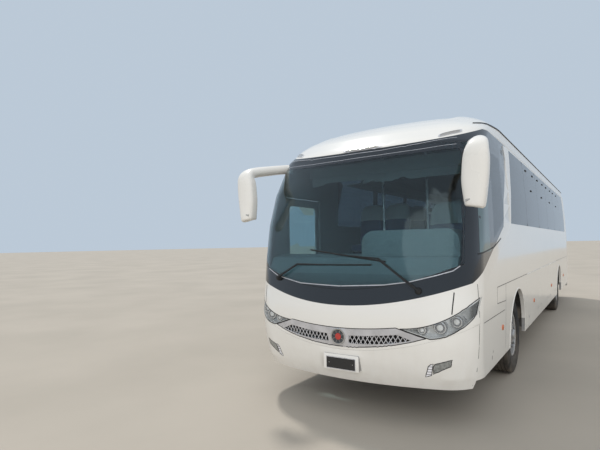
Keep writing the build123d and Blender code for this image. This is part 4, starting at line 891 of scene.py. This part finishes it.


# Windscreen: black border, a painted highlight along its foot, bright lines over it, wipers

CLEAR_FOOT = [
    # the clear part of the windscreen in the front view, from the door's side
    (-1.06, 1.500), (-0.88, 1.424), (-0.50, 1.357), (0.0, 1.343), (0.483, 1.365), (0.721, 1.397),
    (0.968, 1.460), (1.100, 1.500),
]
CLEAR_REST = [
    (1.155, 1.545), (1.170, 1.620), (1.172, 1.900), (1.150, 2.319), (1.128, 2.640),
    (1.085, 2.735), (0.72, 2.715), (0.057, 2.690), (-0.60, 2.700), (-1.085, 2.735),
    (-1.128, 2.640), (-1.150, 2.319), (-1.172, 1.900), (-1.150, 1.600),
]
SCREEN_EDGE = [(-1.183, 1.560), (0.0, 1.312), (1.183, 1.560)]
SCREEN_TOP_Z = 2.808
BORDER_STEPS = 5
HEADER_LINES = [
    # width and points of the bright lines over the windscreen
    (0.005, [(-1.05, 2.858), (-0.60, 2.806), (-0.19, 2.789), (0.30, 2.790), (0.70, 2.822), (1.05, 2.868)]),
    (0.004, [(-1.08, 2.772), (-0.60, 2.738), (-0.19, 2.728), (0.30, 2.734), (0.70, 2.752), (1.06, 2.786)]),
]


def make_border():
    """The black border printed on the windscreen."""
    half = SCREEN_EDGE[2][0]
    top = [(half, SCREEN_TOP_Z), (-half, SCREEN_TOP_Z), SCREEN_EDGE[0]]
    rim = along(arc(*SCREEN_EDGE, 80) + top, 0.01)
    grid = []
    for point in along(CLEAR_FOOT + CLEAR_REST + CLEAR_FOOT[:1], 0.05)[:-1]:
        end = min(rim, key=lambda other: math.dist(other, point))
        line = [between(point, end, step / BORDER_STEPS) for step in range(BORDER_STEPS + 1)]
        grid.append([touch("front", *place) for place in line])
    bm = bmesh.new()
    patch(bm, grid, 0.0006, 0.0004, closed=True)
    new_piece("screen_border", bm, "black_plastic", "black_glass", smooth=60)


def seal(name, view, points, width, lift, finish):
    """A flat strip of its own along a line on the skin."""
    bm = bmesh.new()
    strip(bm, view, points, width, lift)
    new_piece(name, bm, "black_plastic", finish)


make_border()
# A silver strip along the foot of the clear glass: a painted highlight for the bright reflection line at
# the glass's edge.
seal("screen_foot_highlight", "front", CLEAR_FOOT + CLEAR_REST[:1], 0.009, 0.0016, "silver_trim")
for index, (width, points) in enumerate(HEADER_LINES, 1):
    seal(f"header_line_{index}", "front", points, width, 0.0014, "silver_trim")
seal("screen_joint", "front", arc(*SCREEN_EDGE, 40), 0.006, 0.0012, "rubber")

WIPERS = [
    # name, pivot, elbow, blade's two ends, all x and z in the front view
    ("door", (-0.841, 1.400), (-0.519, 1.563), ((-0.560, 1.556), (0.360, 1.560))),
    ("driver", (0.807, 1.314), (0.430, 1.618), ((0.500, 1.590), (-0.357, 1.715))),
]
PIVOT_CAP = [(0, 0), (0.034, 0), (0.034, 0.018), (0.022, 0.046), (0, 0.05)]
ARM_LIFT = 0.045
ARM_DROP = 0.006
HOLDER_LIFT = 0.041
BLADE_LIFT = 0.022
RUBBER_LIFT = 0.009


def make_wiper(name, pivot, elbow, blade):
    bm = bmesh.new()
    place, normal = touch("front", *pivot)
    lathe(bm, place - normal * 0.003, normal, PIVOT_CAP, 20)
    rows = []
    for share in (0.0, 0.12, 0.5, 0.85, 1.0):
        foot, out = touch("front", *between(pivot, elbow, share))
        rows.append((foot + out * (ARM_LIFT - ARM_DROP * share), out))
    sweep(bm, rows, bar(0.012, 0.006, 0.008, 0.007))
    holder = [elbow, between(*blade, 0.5)]
    sweep(bm, trace("front", holder, 0.1, HOLDER_LIFT), bar(0.007, 0.004, 0.005, 0.005))
    sweep(bm, trace("front", blade, 0.06, BLADE_LIFT), bar(0.009, 0.004, 0.006, 0.008))
    sweep(bm, trace("front", blade, 0.06, RUBBER_LIFT), bar(0.003, 0.008, 0.005, 0.010))
    new_piece("wiper_" + name, bm, "black_plastic")


for row in WIPERS:
    make_wiper(*row)


# Roof cap: three flat marker lenses in bright bezels

CAP_LENSES = [
    # x, z, half length, height, rise for each metre sideways
    (0.06, 2.842, 0.235, 0.046, 0.0),
    (0.965, 2.935, 0.100, 0.050, 0.30),
    (-0.965, 2.935, 0.100, 0.050, -0.30),
]
CAP_LENS_PARTS = [
    # name, slot, finish, how far it stands out, rings as shares of the lens
    ("cap_lenses", "lamp_glass", "cap_lens", 0.0035, (0.02, 0.5, 0.86)),
    ("cap_lens_bezels", "bright_trim", "silver_trim", 0.006, (0.86, 0.93, 1.0)),
]


def signed_power(value, power):
    return math.copysign(abs(value) ** power, value)


def lens_grid(x, z, half, height, rise, rings):
    """Skin points from a lens's middle outwards, one row for each ray."""
    grid = []
    for c, s in circle(28):
        a = half * signed_power(c, 0.45)
        b = height / 2 * signed_power(s, 0.6) + rise * a
        grid.append([touch("front", x + a * ring, z + b * ring) for ring in rings])
    return grid


for name, slot, finish, lift, rings in CAP_LENS_PARTS:
    lenses = bmesh.new()
    for row in CAP_LENSES:
        patch(lenses, lens_grid(*row, rings), lift, 0.001, closed=True)
    new_piece(name, lenses, slot, finish)


# Plate, badge and a dark sheet of painted shade behind the grille

PLATE_X = (-0.152, 0.178)
PLATE_Z = (0.503, 0.618)
PLATE_FACE = 0.004
PLATE_FRAME_Z = 0.64
SCREW = [(0, -0.001), (0.006, -0.001), (0.005, 0.002), (0, 0.003)]


def make_plate():
    """A blank black plate in the bracket's raised frame."""
    front = min(touch("front", x, PLATE_FRAME_Z)[0].y for x in (0.0, 0.1)) - 0.0005
    (x0, x1), (z0, z1) = PLATE_X, PLATE_Z
    bm = bmesh.new()
    block(bm, (x0, front - PLATE_FACE, z0), (x1, front + 0.002, z1))
    new_piece("plate", bm, "black_plastic", "plate_black", bevel=0.0015)
    bm = bmesh.new()
    rows = [(Vector((x, front, z)), -BACKWARDS) for x, z in ((x0, z0), (x1, z0), (x1, z1), (x0, z1))]
    sweep(bm, rows, bar(0.005, 0.001, 0.003, 0.006), True)
    new_piece("plate_rim", bm, "bright_trim", "silver_trim")
    bm = bmesh.new()
    for x in (x0 + 0.03, x1 - 0.03):
        lathe(bm, (x, front - PLATE_FACE, (z0 + z1) / 2), -BACKWARDS, SCREW, 12)
    new_piece("plate_screws", bm, "bright_steel")


make_plate()

DISH = [(0, -0.004), (0.0685, -0.004), (0.0685, 0.001), (0, 0.001)]
DISH_MIDDLE = [(0, 0), (0.034, 0), (0.032, 0.004), (0.018, 0.006), (0, 0.0065)]


def make_badge():
    """A plain round badge: dark dish, red middle and a ring of short ribs."""
    foot = cast("front", *BADGE)[1]
    for name, finish, outline in (("dish", "dark_trim", DISH), ("middle", "badge_red", DISH_MIDDLE)):
        bm = bmesh.new()
        lathe(bm, foot, -BACKWARDS, outline, 40)
        new_piece("badge_" + name, bm, "black_plastic", finish)
    bm = bmesh.new()
    for c, s in circle(8, 0.5):
        rows = spread(foot - BACKWARDS * 0.001, -BACKWARDS, Vector((c, 0, s)), (0.040, 0.064))
        sweep(bm, rows, bar(0.004, 0.003, 0.002, 0.003))
    new_piece("badge_ribs", bm, "bright_trim")


make_badge()


SHADE_SHEET_DEPTH = 0.075  # behind the bumper's face under the grille, at BUMPER_FACE_Z
BUMPER_FACE_Z = 0.72
SHADE_SHEET_HEIGHT = 0.08
SHADE_SHEET_FOOT = (0.760, 0.115)  # z in the middle, and what it gains towards both ends


def make_grille_shade():
    """A dark sheet behind the grille's mesh: painted shade for the space behind it."""
    bm = bmesh.new()
    grid = []
    for column in range(-8, 9):
        x = 0.1 * column
        y = touch("front", x, BUMPER_FACE_Z)[0].y + SHADE_SHEET_DEPTH
        low = SHADE_SHEET_FOOT[0] + SHADE_SHEET_FOOT[1] * (column / 8) ** 2
        grid.append([(Vector((x, y, z)), -BACKWARDS) for z in (low, low + SHADE_SHEET_HEIGHT)])
    patch(bm, grid, 0.0)
    # Near black: painted shade behind the grille.
    new_piece("grille_shade_sheet", bm, "black_plastic", "seam_black")


make_grille_shade()


# Sides: slanted front edge of the window band, cornice, markers, arches, locks

PILLAR_FILM = [
    # distance behind the nose of the film's front and rear edge, z
    (2.245, 2.277, 1.980),
    (2.245, 2.470, 2.550),
    (2.245, 2.627, 3.004),
]
CAB_PANE = [
    # distance behind the nose of the fixed cab pane's front and rear edge, z
    (0.560, 0.990, 1.665),
    (0.600, 0.930, 2.050),
    (0.720, 1.000, 2.500),
    (0.860, 1.060, 2.740),
]
CAB_SILL = [(0.526, 1.650), (1.158, 1.707), (1.560, 1.800)]
GRID_COLUMNS = 6


def side_film(name, view, table, lift, slot, finish):
    """A film on the skin between two edges given by height."""
    lines = []
    for low, high in zip(table, table[1:]):
        count = max(1, round((high[2] - low[2]) / 0.08))
        lines += [between(low, high, index / count) for index in range(count)]
    shares = [column / GRID_COLUMNS for column in range(GRID_COLUMNS + 1)]
    grid = []
    for front, rear, z in lines + table[-1:]:
        grid.append([touch(view, front + (rear - front) * share, z) for share in shares])
    bm = bmesh.new()
    patch(bm, grid, lift, 0.0004)
    new_piece(name, bm, slot, finish, smooth=60)


for side, view in SIDES:
    side_film("pillar_film_" + view, view, PILLAR_FILM, 0.0012, "body_paint", "body_paint")
    if side > 0:
        side_film("cab_pane", view, CAB_PANE, 0.0015, "side_glass", "teal_glass")
        seal("cab_sill_line", view, CAB_SILL, 0.012, 0.003, "rubber")

# Cornice over the windows, from the roof cap to the tail: x and z of its section
CORNICE = [
    (1.2440, 3.030), (1.2415, 3.090), (1.2370, 3.150), (1.2360, 3.165), (1.2250, 3.180),
    (1.1900, 3.210), (1.1300, 3.250), (1.0400, 3.295), (0.9400, 3.339),
]
GUTTER_INDEX = 3
CORNICE_SPAN = (1.250, 12.000)
CORNICE_EASE = (0.90, 0.50)  # length over which its front and rear end rise from the roof
CORNICE_STEPS = 72
CORNICE_HEART = 2.55  # height from which its section is seen


def make_cornice(side, word):
    """The cornice, which rises from the roof's skin at both ends, and its gutter."""
    first, last = CORNICE_SPAN
    bm, loops, gutter_rows = bmesh.new(), [], []
    for index in range(CORNICE_STEPS + 1):
        back = first + (last - first) * index / CORNICE_STEPS
        share = min(1.0, (back - first) / CORNICE_EASE[0], (last - back) / CORNICE_EASE[1])
        share = share * share * (3 - 2 * share)
        heart = Vector((0, NOSE + back, CORNICE_HEART))
        outer, inner = [], []
        for x, z in CORNICE:
            full = Vector((side * x, NOSE + back, z)) - heart
            out = full.normalized()
            skin = SKIN.ray_cast(heart + full * 2.5, -out)[0] - heart
            point = heart + skin.lerp(max(full, skin, key=lambda spoke: spoke.length), share)
            if len(outer) == GUTTER_INDEX:
                gutter_rows.append((point, out))
            outer.append(point + out * 0.0006)
            inner.append(point - out * 0.006)
        loops.append([bm.verts.new(point) for point in outer + inner[::-1]])
    join_rings(bm, loops, False)
    new_piece("cornice_" + word, bm, "body_paint", smooth=50)
    bm = bmesh.new()
    sweep(bm, gutter_rows, bar(0.011, 0.004, 0.011, 0.005))
    new_piece("gutter_" + word, bm, "black_plastic", "rubber")


for side, word in SIDES:
    make_cornice(side, word)

MARKERS = [1.558, 4.275, 7.154, 10.400]
MARKER_Z = 0.785
MARKER_OUTLINE = [(0, -0.002), (0.033, -0.002), (0.033, 0.006), (0.026, 0.012), (0, 0.014)]


def body_at(view, back, z):
    """The body of the luggage door at a place, or the coach itself."""
    for node in DOORS:
        low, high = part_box(node)
        if view in node and low.y < NOSE + back < high.y and low.z < z < high.z:
            return node_body(node)
    return BODY


def make_marker(view, index, back):
    bm = bmesh.new()
    lathe(bm, *touch(view, back, MARKER_Z), MARKER_OUTLINE, 24)
    body = body_at(view, back, MARKER_Z)
    new_piece(f"side_marker_{view}_{index}", bm, "tail_lens", "amber_lens", body)


for side, view in SIDES:
    for index, back in enumerate(MARKERS, 1):
        if side > 0 or index > 1:  # the right side's first one would sit on the entrance door
            make_marker(view, index, back)

TYRE_R = 0.505
LIP_R = 0.622
SKIRT_Z = 0.447


def middle_of(node):
    low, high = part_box(node)
    return (low + high) / 2


def make_arch_lips():
    bm = bmesh.new()
    foot = math.asin((SKIRT_Z - TYRE_R) / LIP_R)
    turns = [foot + (math.pi - 2 * foot) * index / 40 for index in range(41)]
    for _, view in SIDES:
        for node in ("front_tyre_left", "rear_tyres_left"):
            back = middle_of(node).y - NOSE
            line = [(back + LIP_R * math.cos(t), TYRE_R + LIP_R * math.sin(t)) for t in turns]
            rows = [touch(view, *point) for point in line]
            sweep(bm, rows, [(-0.011, -0.003), (0.011, -0.003), (0.007, 0.004), (-0.009, 0.004)])
    new_piece("arch_lips", bm, "body_paint")


make_arch_lips()

LOCK_Z = 0.60
LOCK = [(0, -0.002), (0.020, -0.002), (0.020, 0.002), (0.014, 0.003), (0.013, 0.001), (0, 0.001)]


def make_locks(node):
    """Two flush locks low on a luggage door."""
    low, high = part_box(node)
    bm = bmesh.new()
    for share in (0.15, 0.85):
        back = low.y + (high.y - low.y) * share - NOSE
        place, normal = touch("left" if "left" in node else "right", back, LOCK_Z)
        lathe(bm, place, normal, LOCK, 24)
        sweep(bm, spread(place, normal, UP, (-0.009, 0.009)), bar(0.002, 0.002, 0.002, 0.0035))
    new_piece("locks_" + node, bm, "bright_steel", body=node_body(node))


for node in DOORS:
    make_locks(node)

DOOR_HANDLE = (1.640, 1.235)
HANDLE_DISH = [(0, -0.001), (0.045, -0.001), (0.045, 0.003), (0.038, 0.004), (0.030, 0.001), (0, 0.001)]
RUBBER_INSET = 0.012


def make_entrance_door_trim():
    """Rubber edges, and a handle dish with its lever."""
    body = node_body("entrance_door")
    low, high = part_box("entrance_door")
    bm = bmesh.new()
    for back in (low.y - NOSE + RUBBER_INSET, high.y - NOSE - RUBBER_INSET):
        strip(bm, "right", [(back, low.z + 0.01), (back, high.z - 0.01)], 0.014, 0.002, 0.1)
    new_piece("door_rubbers", bm, "black_plastic", "rubber", body)
    place, normal = touch("right", *DOOR_HANDLE)
    bm = bmesh.new()
    lathe(bm, place, normal, HANDLE_DISH, 28)
    rows = spread(place + normal * 0.010, normal, BACKWARDS, (-0.032, 0.0, 0.032))
    sweep(bm, rows, bar(0.009, 0.010, 0.006, 0.004))
    new_piece("door_handle", bm, "black_plastic", body=body)


make_entrance_door_trim()

PANE_PITCH = 9.05 / 6
BAND_START = 2.250
OPENING_PANES = (1, 2, 3, 4)
CATCHES = [
    # share of the pane, distance from there, z
    (0.0, 0.35, 2.900),
    (1.0, -0.35, 2.900),
    (0.5, 0.0, 2.600),
]


def make_window_catches():
    """Small black catches on the panes that open at the top."""
    bm = bmesh.new()
    for _, view in SIDES:
        for pane in OPENING_PANES:
            for share, more, z in CATCHES:
                place, normal = touch(view, BAND_START + (pane + share) * PANE_PITCH + more, z)
                rows = spread(place, normal, BACKWARDS, (-0.045, -0.035, 0.035, 0.045))
                sweep(bm, rows, bar(0.016, 0.001, 0.010, 0.010))
    new_piece("window_catches", bm, "black_plastic", "rubber")


make_window_catches()


# Wheels: tyres with tread and side walls, and nuts

TYRE_WIDTH = 0.290
GROOVE_DEPTH = 0.011
GROOVES = (-0.070, -0.024, 0.024, 0.070)
GROOVE_HALF = 0.0055
FLANK = [
    # radius and distance from the tyre's middle, from the rim outwards
    (0.2865, 0.113), (0.292, 0.121), (0.308, 0.131), (0.330, 0.1375), (0.372, 0.1440),
    (0.376, 0.1428), (0.380, 0.1448), (0.412, 0.1440), (0.445, 0.1385), (0.449, 0.1360),
    (0.470, 0.1310), (0.490, 0.1248), (0.499, 0.1160), (TYRE_R - 0.001, 0.103),
]
TREAD_BLOCKS = 60
BLOCK_PLACE = 0.108
BLOCK_R = 0.4975


def tyre_outline():
    """The section outside the rim."""
    crown = []
    for middle in GROOVES[::-1]:
        for depth, half in ((0, 1), (GROOVE_DEPTH, 0.6), (GROOVE_DEPTH, -0.6), (0, -1)):
            crown.append((TYRE_R - depth, middle + GROOVE_HALF * half))
    return FLANK + crown + [(radius, -across) for radius, across in FLANK[::-1]]


def make_tyres(node):
    """The tyres of one node, turned round their axle line."""
    low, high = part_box(node)
    centre = middle_of(node)
    places = [centre.x]
    if high.x - low.x > 1.5 * TYRE_WIDTH:
        places = [low.x + TYRE_WIDTH / 2, high.x - TYRE_WIDTH / 2]
    bm = bmesh.new()
    for x in places:
        lathe(bm, (x, centre.y, TYRE_R), SIDEWAYS, tyre_outline(), 96)
        for c, s in circle(TREAD_BLOCKS):
            out = Vector((0, c, s))
            for side, _ in SIDES:
                foot = Vector((x + side * BLOCK_PLACE, centre.y, TYRE_R)) + out * BLOCK_R
                rows = spread(foot, out, side * SIDEWAYS, (-0.010, 0.012))
                sweep(bm, rows, bar(0.012, 0.006, 0.011, 0.0035))
    piece = new_piece("tread_" + node, bm, SLOTS[node], "tread", node_body(node), 30)
    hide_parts(node)


for node in TYRES:
    make_tyres(node)

NUT_RING = 0.168
NUTS = 10
RIM_FACES = {"front_rim": 0.097, "rear_rims": -0.089}  # flange's outer face, from the tyre's middle
WHEEL_X = 1.075
WASHER = [(0, -0.004), (0.022, -0.004), (0.022, 0.004), (0, 0.004)]
NUT = [(0, 0.002), (0.0165, 0.002), (0.0165, 0.024), (0.012, 0.028), (0, 0.028)]


def make_nuts(node, side, face):
    y = middle_of(node).y
    bm = bmesh.new()
    for c, s in circle(NUTS, 0.5):
        foot = (side * (WHEEL_X + face), y + NUT_RING * c, TYRE_R + NUT_RING * s)
        lathe(bm, foot, side * SIDEWAYS, WASHER, 16)
        lathe(bm, foot, side * SIDEWAYS, NUT, 6)
    new_piece("nuts_" + node, bm, "bright_steel", body=node_body(node), smooth=25)


for rim, face in RIM_FACES.items():
    for side, word in SIDES:
        make_nuts(f"{rim}_{word}", side, face)


# Seats: padded cushions and backs with white head covers, on beams and legs

ROWS = 12
ROW_PITCH = 0.775
FIRST_ROW = 2.600
SEAT_X = 0.330
SEAT_W = 0.435
SEAT_GAP = 0.025
SEAT_INSET = 0.004
CUSHION_Z = 1.640
CUSHION_T = 0.12
BACK_TOP = 2.430
SEAT_DEPTH = 0.460
BACK_T = 0.110
BACK_LEAN = 0.1261
DECK_Z = 1.310
PODIUM_Z = 1.100
COVER_SHARE = 0.30
PAN_INSET = 0.02
PAN_HALF = 0.12
LEGS_X = (0.520, 1.035)
LEG_HALF = 0.018
LEG_SPAN = (0.07, 0.39)  # behind the seat's front edge
DRIVER_SEAT = (0.370, 0.870, 1.430, 1.430, 2.300)


def make_seat(soft, hard, x0, x1, back, cushion_z, top_z):
    """One seat between x0 and x1; back is the distance of its front edge behind the nose."""
    y = NOSE + back
    rear = y + SEAT_DEPTH
    left, right = x0 + SEAT_INSET, x1 - SEAT_INSET
    pillow(soft, (left, y + SEAT_INSET, cushion_z), (right, rear - BACK_T + 0.02, cushion_z + CUSHION_T))
    low = (left, rear - BACK_T + SEAT_INSET, cushion_z + 0.01)
    high = (right, rear - SEAT_INSET, top_z - SEAT_INSET)
    limit = top_z - (top_z - cushion_z) * COVER_SHARE
    for face in pillow(soft, low, high, BACK_LEAN):
        if face.calc_center_median().z > limit:
            face.material_index = 1
    middle = (y + rear) / 2
    low = (x0 + PAN_INSET, middle - PAN_HALF, cushion_z - 0.05)
    block(hard, low, (x1 - PAN_INSET, middle + PAN_HALF, cushion_z + 0.01))


def make_leg(hard, x0, x1, back, z0, z1):
    first, last = (NOSE + back + share for share in LEG_SPAN)
    block(hard, (x0, first, z0 + 0.001), (x1, last, z1))


def make_seats():
    soft, hard = bmesh.new(), bmesh.new()
    for row in range(ROWS):
        back = FIRST_ROW + row * ROW_PITCH
        for side in (-1, 1):
            for start in (SEAT_X, SEAT_X + SEAT_W + SEAT_GAP):
                x0, x1 = sorted((side * start, side * (start + SEAT_W)))
                make_seat(soft, hard, x0, x1, back, CUSHION_Z, BACK_TOP)
            for x in LEGS_X:
                ends = (side * x - LEG_HALF, side * x + LEG_HALF)
                make_leg(hard, *ends, back, DECK_Z, CUSHION_Z - 0.04)
    make_seat(soft, hard, *DRIVER_SEAT)
    x0, x1, back, cushion_z, _ = DRIVER_SEAT
    make_leg(hard, x0 + 0.1, x1 - 0.1, back, PODIUM_Z, cushion_z - 0.02)
    finishes = ["seat_fabric", "head_cover"]
    cushions = new_piece("cushions", soft, SLOTS["seats"], finishes, node_body("seats"), 60)
    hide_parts("seats")
    new_piece("seat_frames", hard, "dark_trim", body=node_body("seats"), bevel=0.004)


make_seats()


# Cabin: rail and partition behind the driver, grab pole, blind over the windscreen

PARTITION = (0.330, 1.975, 1.314), (1.160, 1.995, 2.150)
POLES_X = (0.310, -0.330)
POLES_BACK = 2.020
POLE_R = 0.017
RAIL_R = 0.016
RAIL_Z = 2.170
CEILING_Z = 3.30
BLIND_ROLL = (-1.02, 1.15, 2.640), (1.02, 1.24, 2.800)
BLIND_CLOTH = (-1.00, 1.18, 2.540), (1.00, 1.184, 2.645)


def box_piece(name, slot, finish, boxes, bevel):
    """Boxes between corners of x, distance behind the nose and z."""
    bm = bmesh.new()
    for corners in boxes:
        block(bm, *[(x, NOSE + back, z) for x, back, z in corners])
    new_piece(name, bm, slot, finish, bevel=bevel)


def make_poles():
    bm = bmesh.new()
    y = NOSE + POLES_BACK
    for x in POLES_X:
        tube(bm, [(x, y, z) for z in (DECK_Z + 0.001, 2.2, CEILING_Z)], POLE_R)
    tube(bm, [(x, y, RAIL_Z) for x in (POLES_X[0], 0.7, PARTITION[1][0])], RAIL_R)
    new_piece("grab_poles", bm, "bright_trim", "silver_trim")


box_piece("partition", "dark_trim", "seat_fabric", [PARTITION], 0.004)
make_poles()
box_piece("sun_blind", "light_trim", "cabin_trim", [BLIND_ROLL, BLIND_CLOTH], 0.006)


# Mirrors: each a smooth horn, its arm rising forwards from the body and turning down into the pod

MIRROR_ROWS = [
    # x, distance behind the nose, z, half width, half thickness, how square the back is
    (1.334, 0.200, 2.082, 0.070, 0.040, 3.0),
    (1.335, 0.200, 2.088, 0.078, 0.058, 6.0),
    (1.337, 0.200, 2.110, 0.087, 0.069, 9.0),
    (1.339, 0.200, 2.200, 0.101, 0.070, 9.0),
    (1.341, 0.200, 2.310, 0.113, 0.070, 9.0),
    (1.350, 0.200, 2.420, 0.116, 0.070, 9.0),
    (1.358, 0.201, 2.520, 0.114, 0.070, 9.0),
    (1.366, 0.206, 2.585, 0.106, 0.070, 7.0),
    (1.371, 0.232, 2.632, 0.096, 0.070, 4.0),
    (1.368, 0.300, 2.676, 0.084, 0.066, 2.4),
    (1.350, 0.410, 2.708, 0.076, 0.064, 2.0),
    (1.312, 0.570, 2.738, 0.070, 0.062, 2.0),
    (1.255, 0.730, 2.766, 0.066, 0.060, 2.0),
    (1.165, 0.900, 2.790, 0.064, 0.060, 2.0),
]
MIRROR_PARTS = 5
FRONT_SQUARE = 2.6
MIRROR_LAMP = (1.305, 0.1335, 2.150)
LAMP_RISE = 0.25


def smooth_rows(rows, parts):
    """Points of a smooth run through all rows."""
    ends = [rows[0]] + rows + [rows[-1]]
    run = []
    for four in zip(ends, ends[1:], ends[2:], ends[3:]):
        for part in range(parts):
            t = part / parts
            weights = (
                (-t + 2 * t**2 - t**3) / 2, (2 - 5 * t**2 + 3 * t**3) / 2,
                (t + 4 * t**2 - 3 * t**3) / 2, (-(t**2) + t**3) / 2,
            )
            run.append([sum(w * value for w, value in zip(weights, column)) for column in zip(*four)])
    return run + [list(rows[-1])]


def mirror_ring(place, heading, half_width, half_depth, square):
    """A section of the horn across its heading, squarer at the back than at the front."""
    across = (SIDEWAYS - heading * heading.x).normalized()
    rear = heading.cross(across)
    if rear.dot(BACKWARDS - UP) < 0:
        rear = -rear
    ring = []
    for c, s in circle(40, 0.5):
        power = 2 / (square if s > 0 else min(square, FRONT_SQUARE))
        out = across * half_width * signed_power(c, power)
        ring.append(place + out + rear * half_depth * signed_power(s, power))
    return ring


def make_mirrors():
    shell, lamp = bmesh.new(), bmesh.new()
    rows = smooth_rows(MIRROR_ROWS, MIRROR_PARTS)
    for side, _ in SIDES:
        places = [Vector((side * x, NOSE + back, z)) for x, back, z, *_ in rows]
        rings = []
        for index, row in enumerate(rows):
            heading = places[min(index + 1, len(rows) - 1)] - places[max(index - 1, 0)]
            ring = mirror_ring(places[index], heading.normalized(), *row[3:])
            rings.append([shell.verts.new(point) for point in ring])
        join_rings(shell, rings, False)
        x, back, z = MIRROR_LAMP
        slant = Vector((1, 0, LAMP_RISE * side))
        steps = (-0.034, -0.030, 0.030, 0.034)
        lamp_rows = spread(Vector((side * x, NOSE + back, z)), -BACKWARDS, slant, steps)
        sweep(lamp, lamp_rows, bar(0.011, 0.004, 0.007, 0.0025))
    body = node_body("mirrors")
    piece = new_piece("mirror_shells", shell, SLOTS["mirrors"], "white_plastic", body, 40)
    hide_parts("mirrors")
    new_piece("mirror_lamps", lamp, "lamp_glass", "clear_lens", body)


make_mirrors()


# Tail: high markers; roof: hatches and fan guards

HIGH_MARKERS = (-1.10, -0.62, 0.62, 1.10)
HIGH_MARKER_Z = 2.955


def make_high_markers():
    bm = bmesh.new()
    for x in HIGH_MARKERS:
        rows = spread(*touch("rear", x, HIGH_MARKER_Z), SIDEWAYS, (-0.05, -0.044, 0.044, 0.05))
        sweep(bm, rows, bar(0.017, 0.002, 0.011, 0.012))
    new_piece("high_markers", bm, "tail_lens")


make_high_markers()

ROOF_HATCHES = (3.60, 9.90)
HATCH_TIERS = [
    # half width, half length, lower and upper z
    (0.36, 0.33, 3.395, 3.455),
    (0.33, 0.30, 3.450, 3.472),
]
HATCH_BOXES = [
    ((-x, back - y, z0), (x, back + y, z1)) for back in ROOF_HATCHES for x, y, z0, z1 in HATCH_TIERS
]
box_piece("roof_hatches", "white_plastic", "body_paint", HATCH_BOXES, 0.010)

FANS_Y = (0.85, 1.50, 2.15)
FAN_WIRES = (0.06, 0.115, 0.17, 0.225)
FAN_WELL = [(0, -0.004), (0.235, -0.004), (0.235, -0.0004), (0, -0.0004)]


def make_fan_guards():
    """Round wire guards in dark wells, just under the top face of the roof pod."""
    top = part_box("roof_ac_unit")[1].z
    dark, wire = bmesh.new(), bmesh.new()
    for y in FANS_Y:
        lathe(dark, (0, y, top), UP, FAN_WELL, 40)
        for r in FAN_WIRES:
            section = [(r - 0.004, -0.002), (r + 0.004, -0.002), (r + 0.002, -0.0001), (r - 0.002, -0.0001)]
            lathe(wire, (0, y, top), UP, section, 40)
    new_piece("fan_wells", dark, "black_plastic")
    new_piece("fan_guards", wire, "black_plastic", "dark_trim")


make_fan_guards()


# Floor, light and camera

FLOOR_R = 420.0


def make_stage():
    shader = Shader("pale_floor", (0.44, 0.395, 0.335), 0.85)
    earth = shader.mottle(0.35, 5, (0.46, 0.415, 0.355), (0.41, 0.37, 0.315), 0.35, 0.65)
    shader.drive("Base Color", earth)
    bm = bmesh.new()
    bmesh.ops.create_circle(bm, cap_ends=True, segments=96, radius=FLOOR_R)
    mesh = bpy.data.meshes.new("floor")
    bm.to_mesh(mesh)
    bm.free()
    mesh.materials.append(MATERIALS["pale_floor"])
    floor = bpy.data.objects.new("floor", mesh)
    bpy.context.scene.collection.objects.link(floor)


SKY_LIGHT = (0.90, 0.95, 1.0, 1)
SKY_POWER = 0.70
SKY_SEEN = (0.50, 0.585, 0.68, 1)


def make_world():
    """An even pale sky. What the camera and the reflections see is a little deeper in tone."""
    world = bpy.data.worlds.new("studio")
    world.use_nodes = True
    bpy.context.scene.world = world
    sky = Nodes(world.node_tree)
    light = sky.tree.nodes["Background"]
    sky.put(light.inputs["Color"], SKY_LIGHT)
    sky.put(light.inputs["Strength"], SKY_POWER)
    seen = sky.add("Background", {"Color": SKY_SEEN, "Strength": 1.0})
    rays = sky.add("LightPath", {}).outputs
    seeing = [rays[f"Is {kind} Ray"] for kind in ("Camera", "Glossy", "Transmission")]
    inputs = {0: sky.math("MAXIMUM", *seeing), 1: light.outputs[0], 2: seen.outputs[0]}
    mixed = sky.add("MixShader", inputs)
    sky.put(sky.tree.nodes["World Output"].inputs["Surface"], mixed.outputs[0])


# The key comes high from behind on the door's side, so the shadow falls ahead and to the
# driver's side. Only the key shows in reflections.
LAMPS = [
    # name, where the light comes from, power, width, colour
    ("key", (-0.42, 0.30, 0.86), 1.6, 5, (1.0, 0.97, 0.92)),
    ("fill", (0.45, -0.82, 0.35), 1.2, 50, (1.0, 0.98, 0.95)),
]


def make_lights():
    for name, place, power, width, color in LAMPS:
        lamp = bpy.data.lights.new(name, "SUN")
        lamp.energy = power
        lamp.angle = math.radians(width)
        lamp.color = color
        sun = bpy.data.objects.new(name, lamp)
        sun.rotation_mode = "QUATERNION"
        sun.rotation_quaternion = Vector(place).to_track_quat("Z", "Y")
        sun.visible_glossy = name == "key"
        bpy.context.scene.collection.objects.link(sun)


# Camera, from the perspective of the photograph
FOCAL_PIXELS = 452.73
IMAGE_WIDTH = 600
EYE = Vector((2.3027, -10.2041, 1.7770))
YAW = 0.5934
PITCH = 0.0432
ROLL = -0.0209


def make_camera():
    lens = bpy.data.cameras.new("camera")
    lens.sensor_width = 36.0
    lens.lens = FOCAL_PIXELS / IMAGE_WIDTH * lens.sensor_width
    lens.clip_start = 0.1
    lens.clip_end = 1000
    camera = bpy.data.objects.new("camera", lens)
    camera.matrix_world = Matrix.Translation(EYE)
    for angle, axis in ((YAW, "Z"), (math.pi / 2 + PITCH, "X"), (ROLL, "Z")):
        camera.matrix_world @= Matrix.Rotation(angle, 4, axis)
    bpy.context.scene.collection.objects.link(camera)
    bpy.context.scene.camera = camera


make_stage()
make_world()
make_lights()
make_camera()
bpy.context.scene.view_settings.view_transform = "Standard"
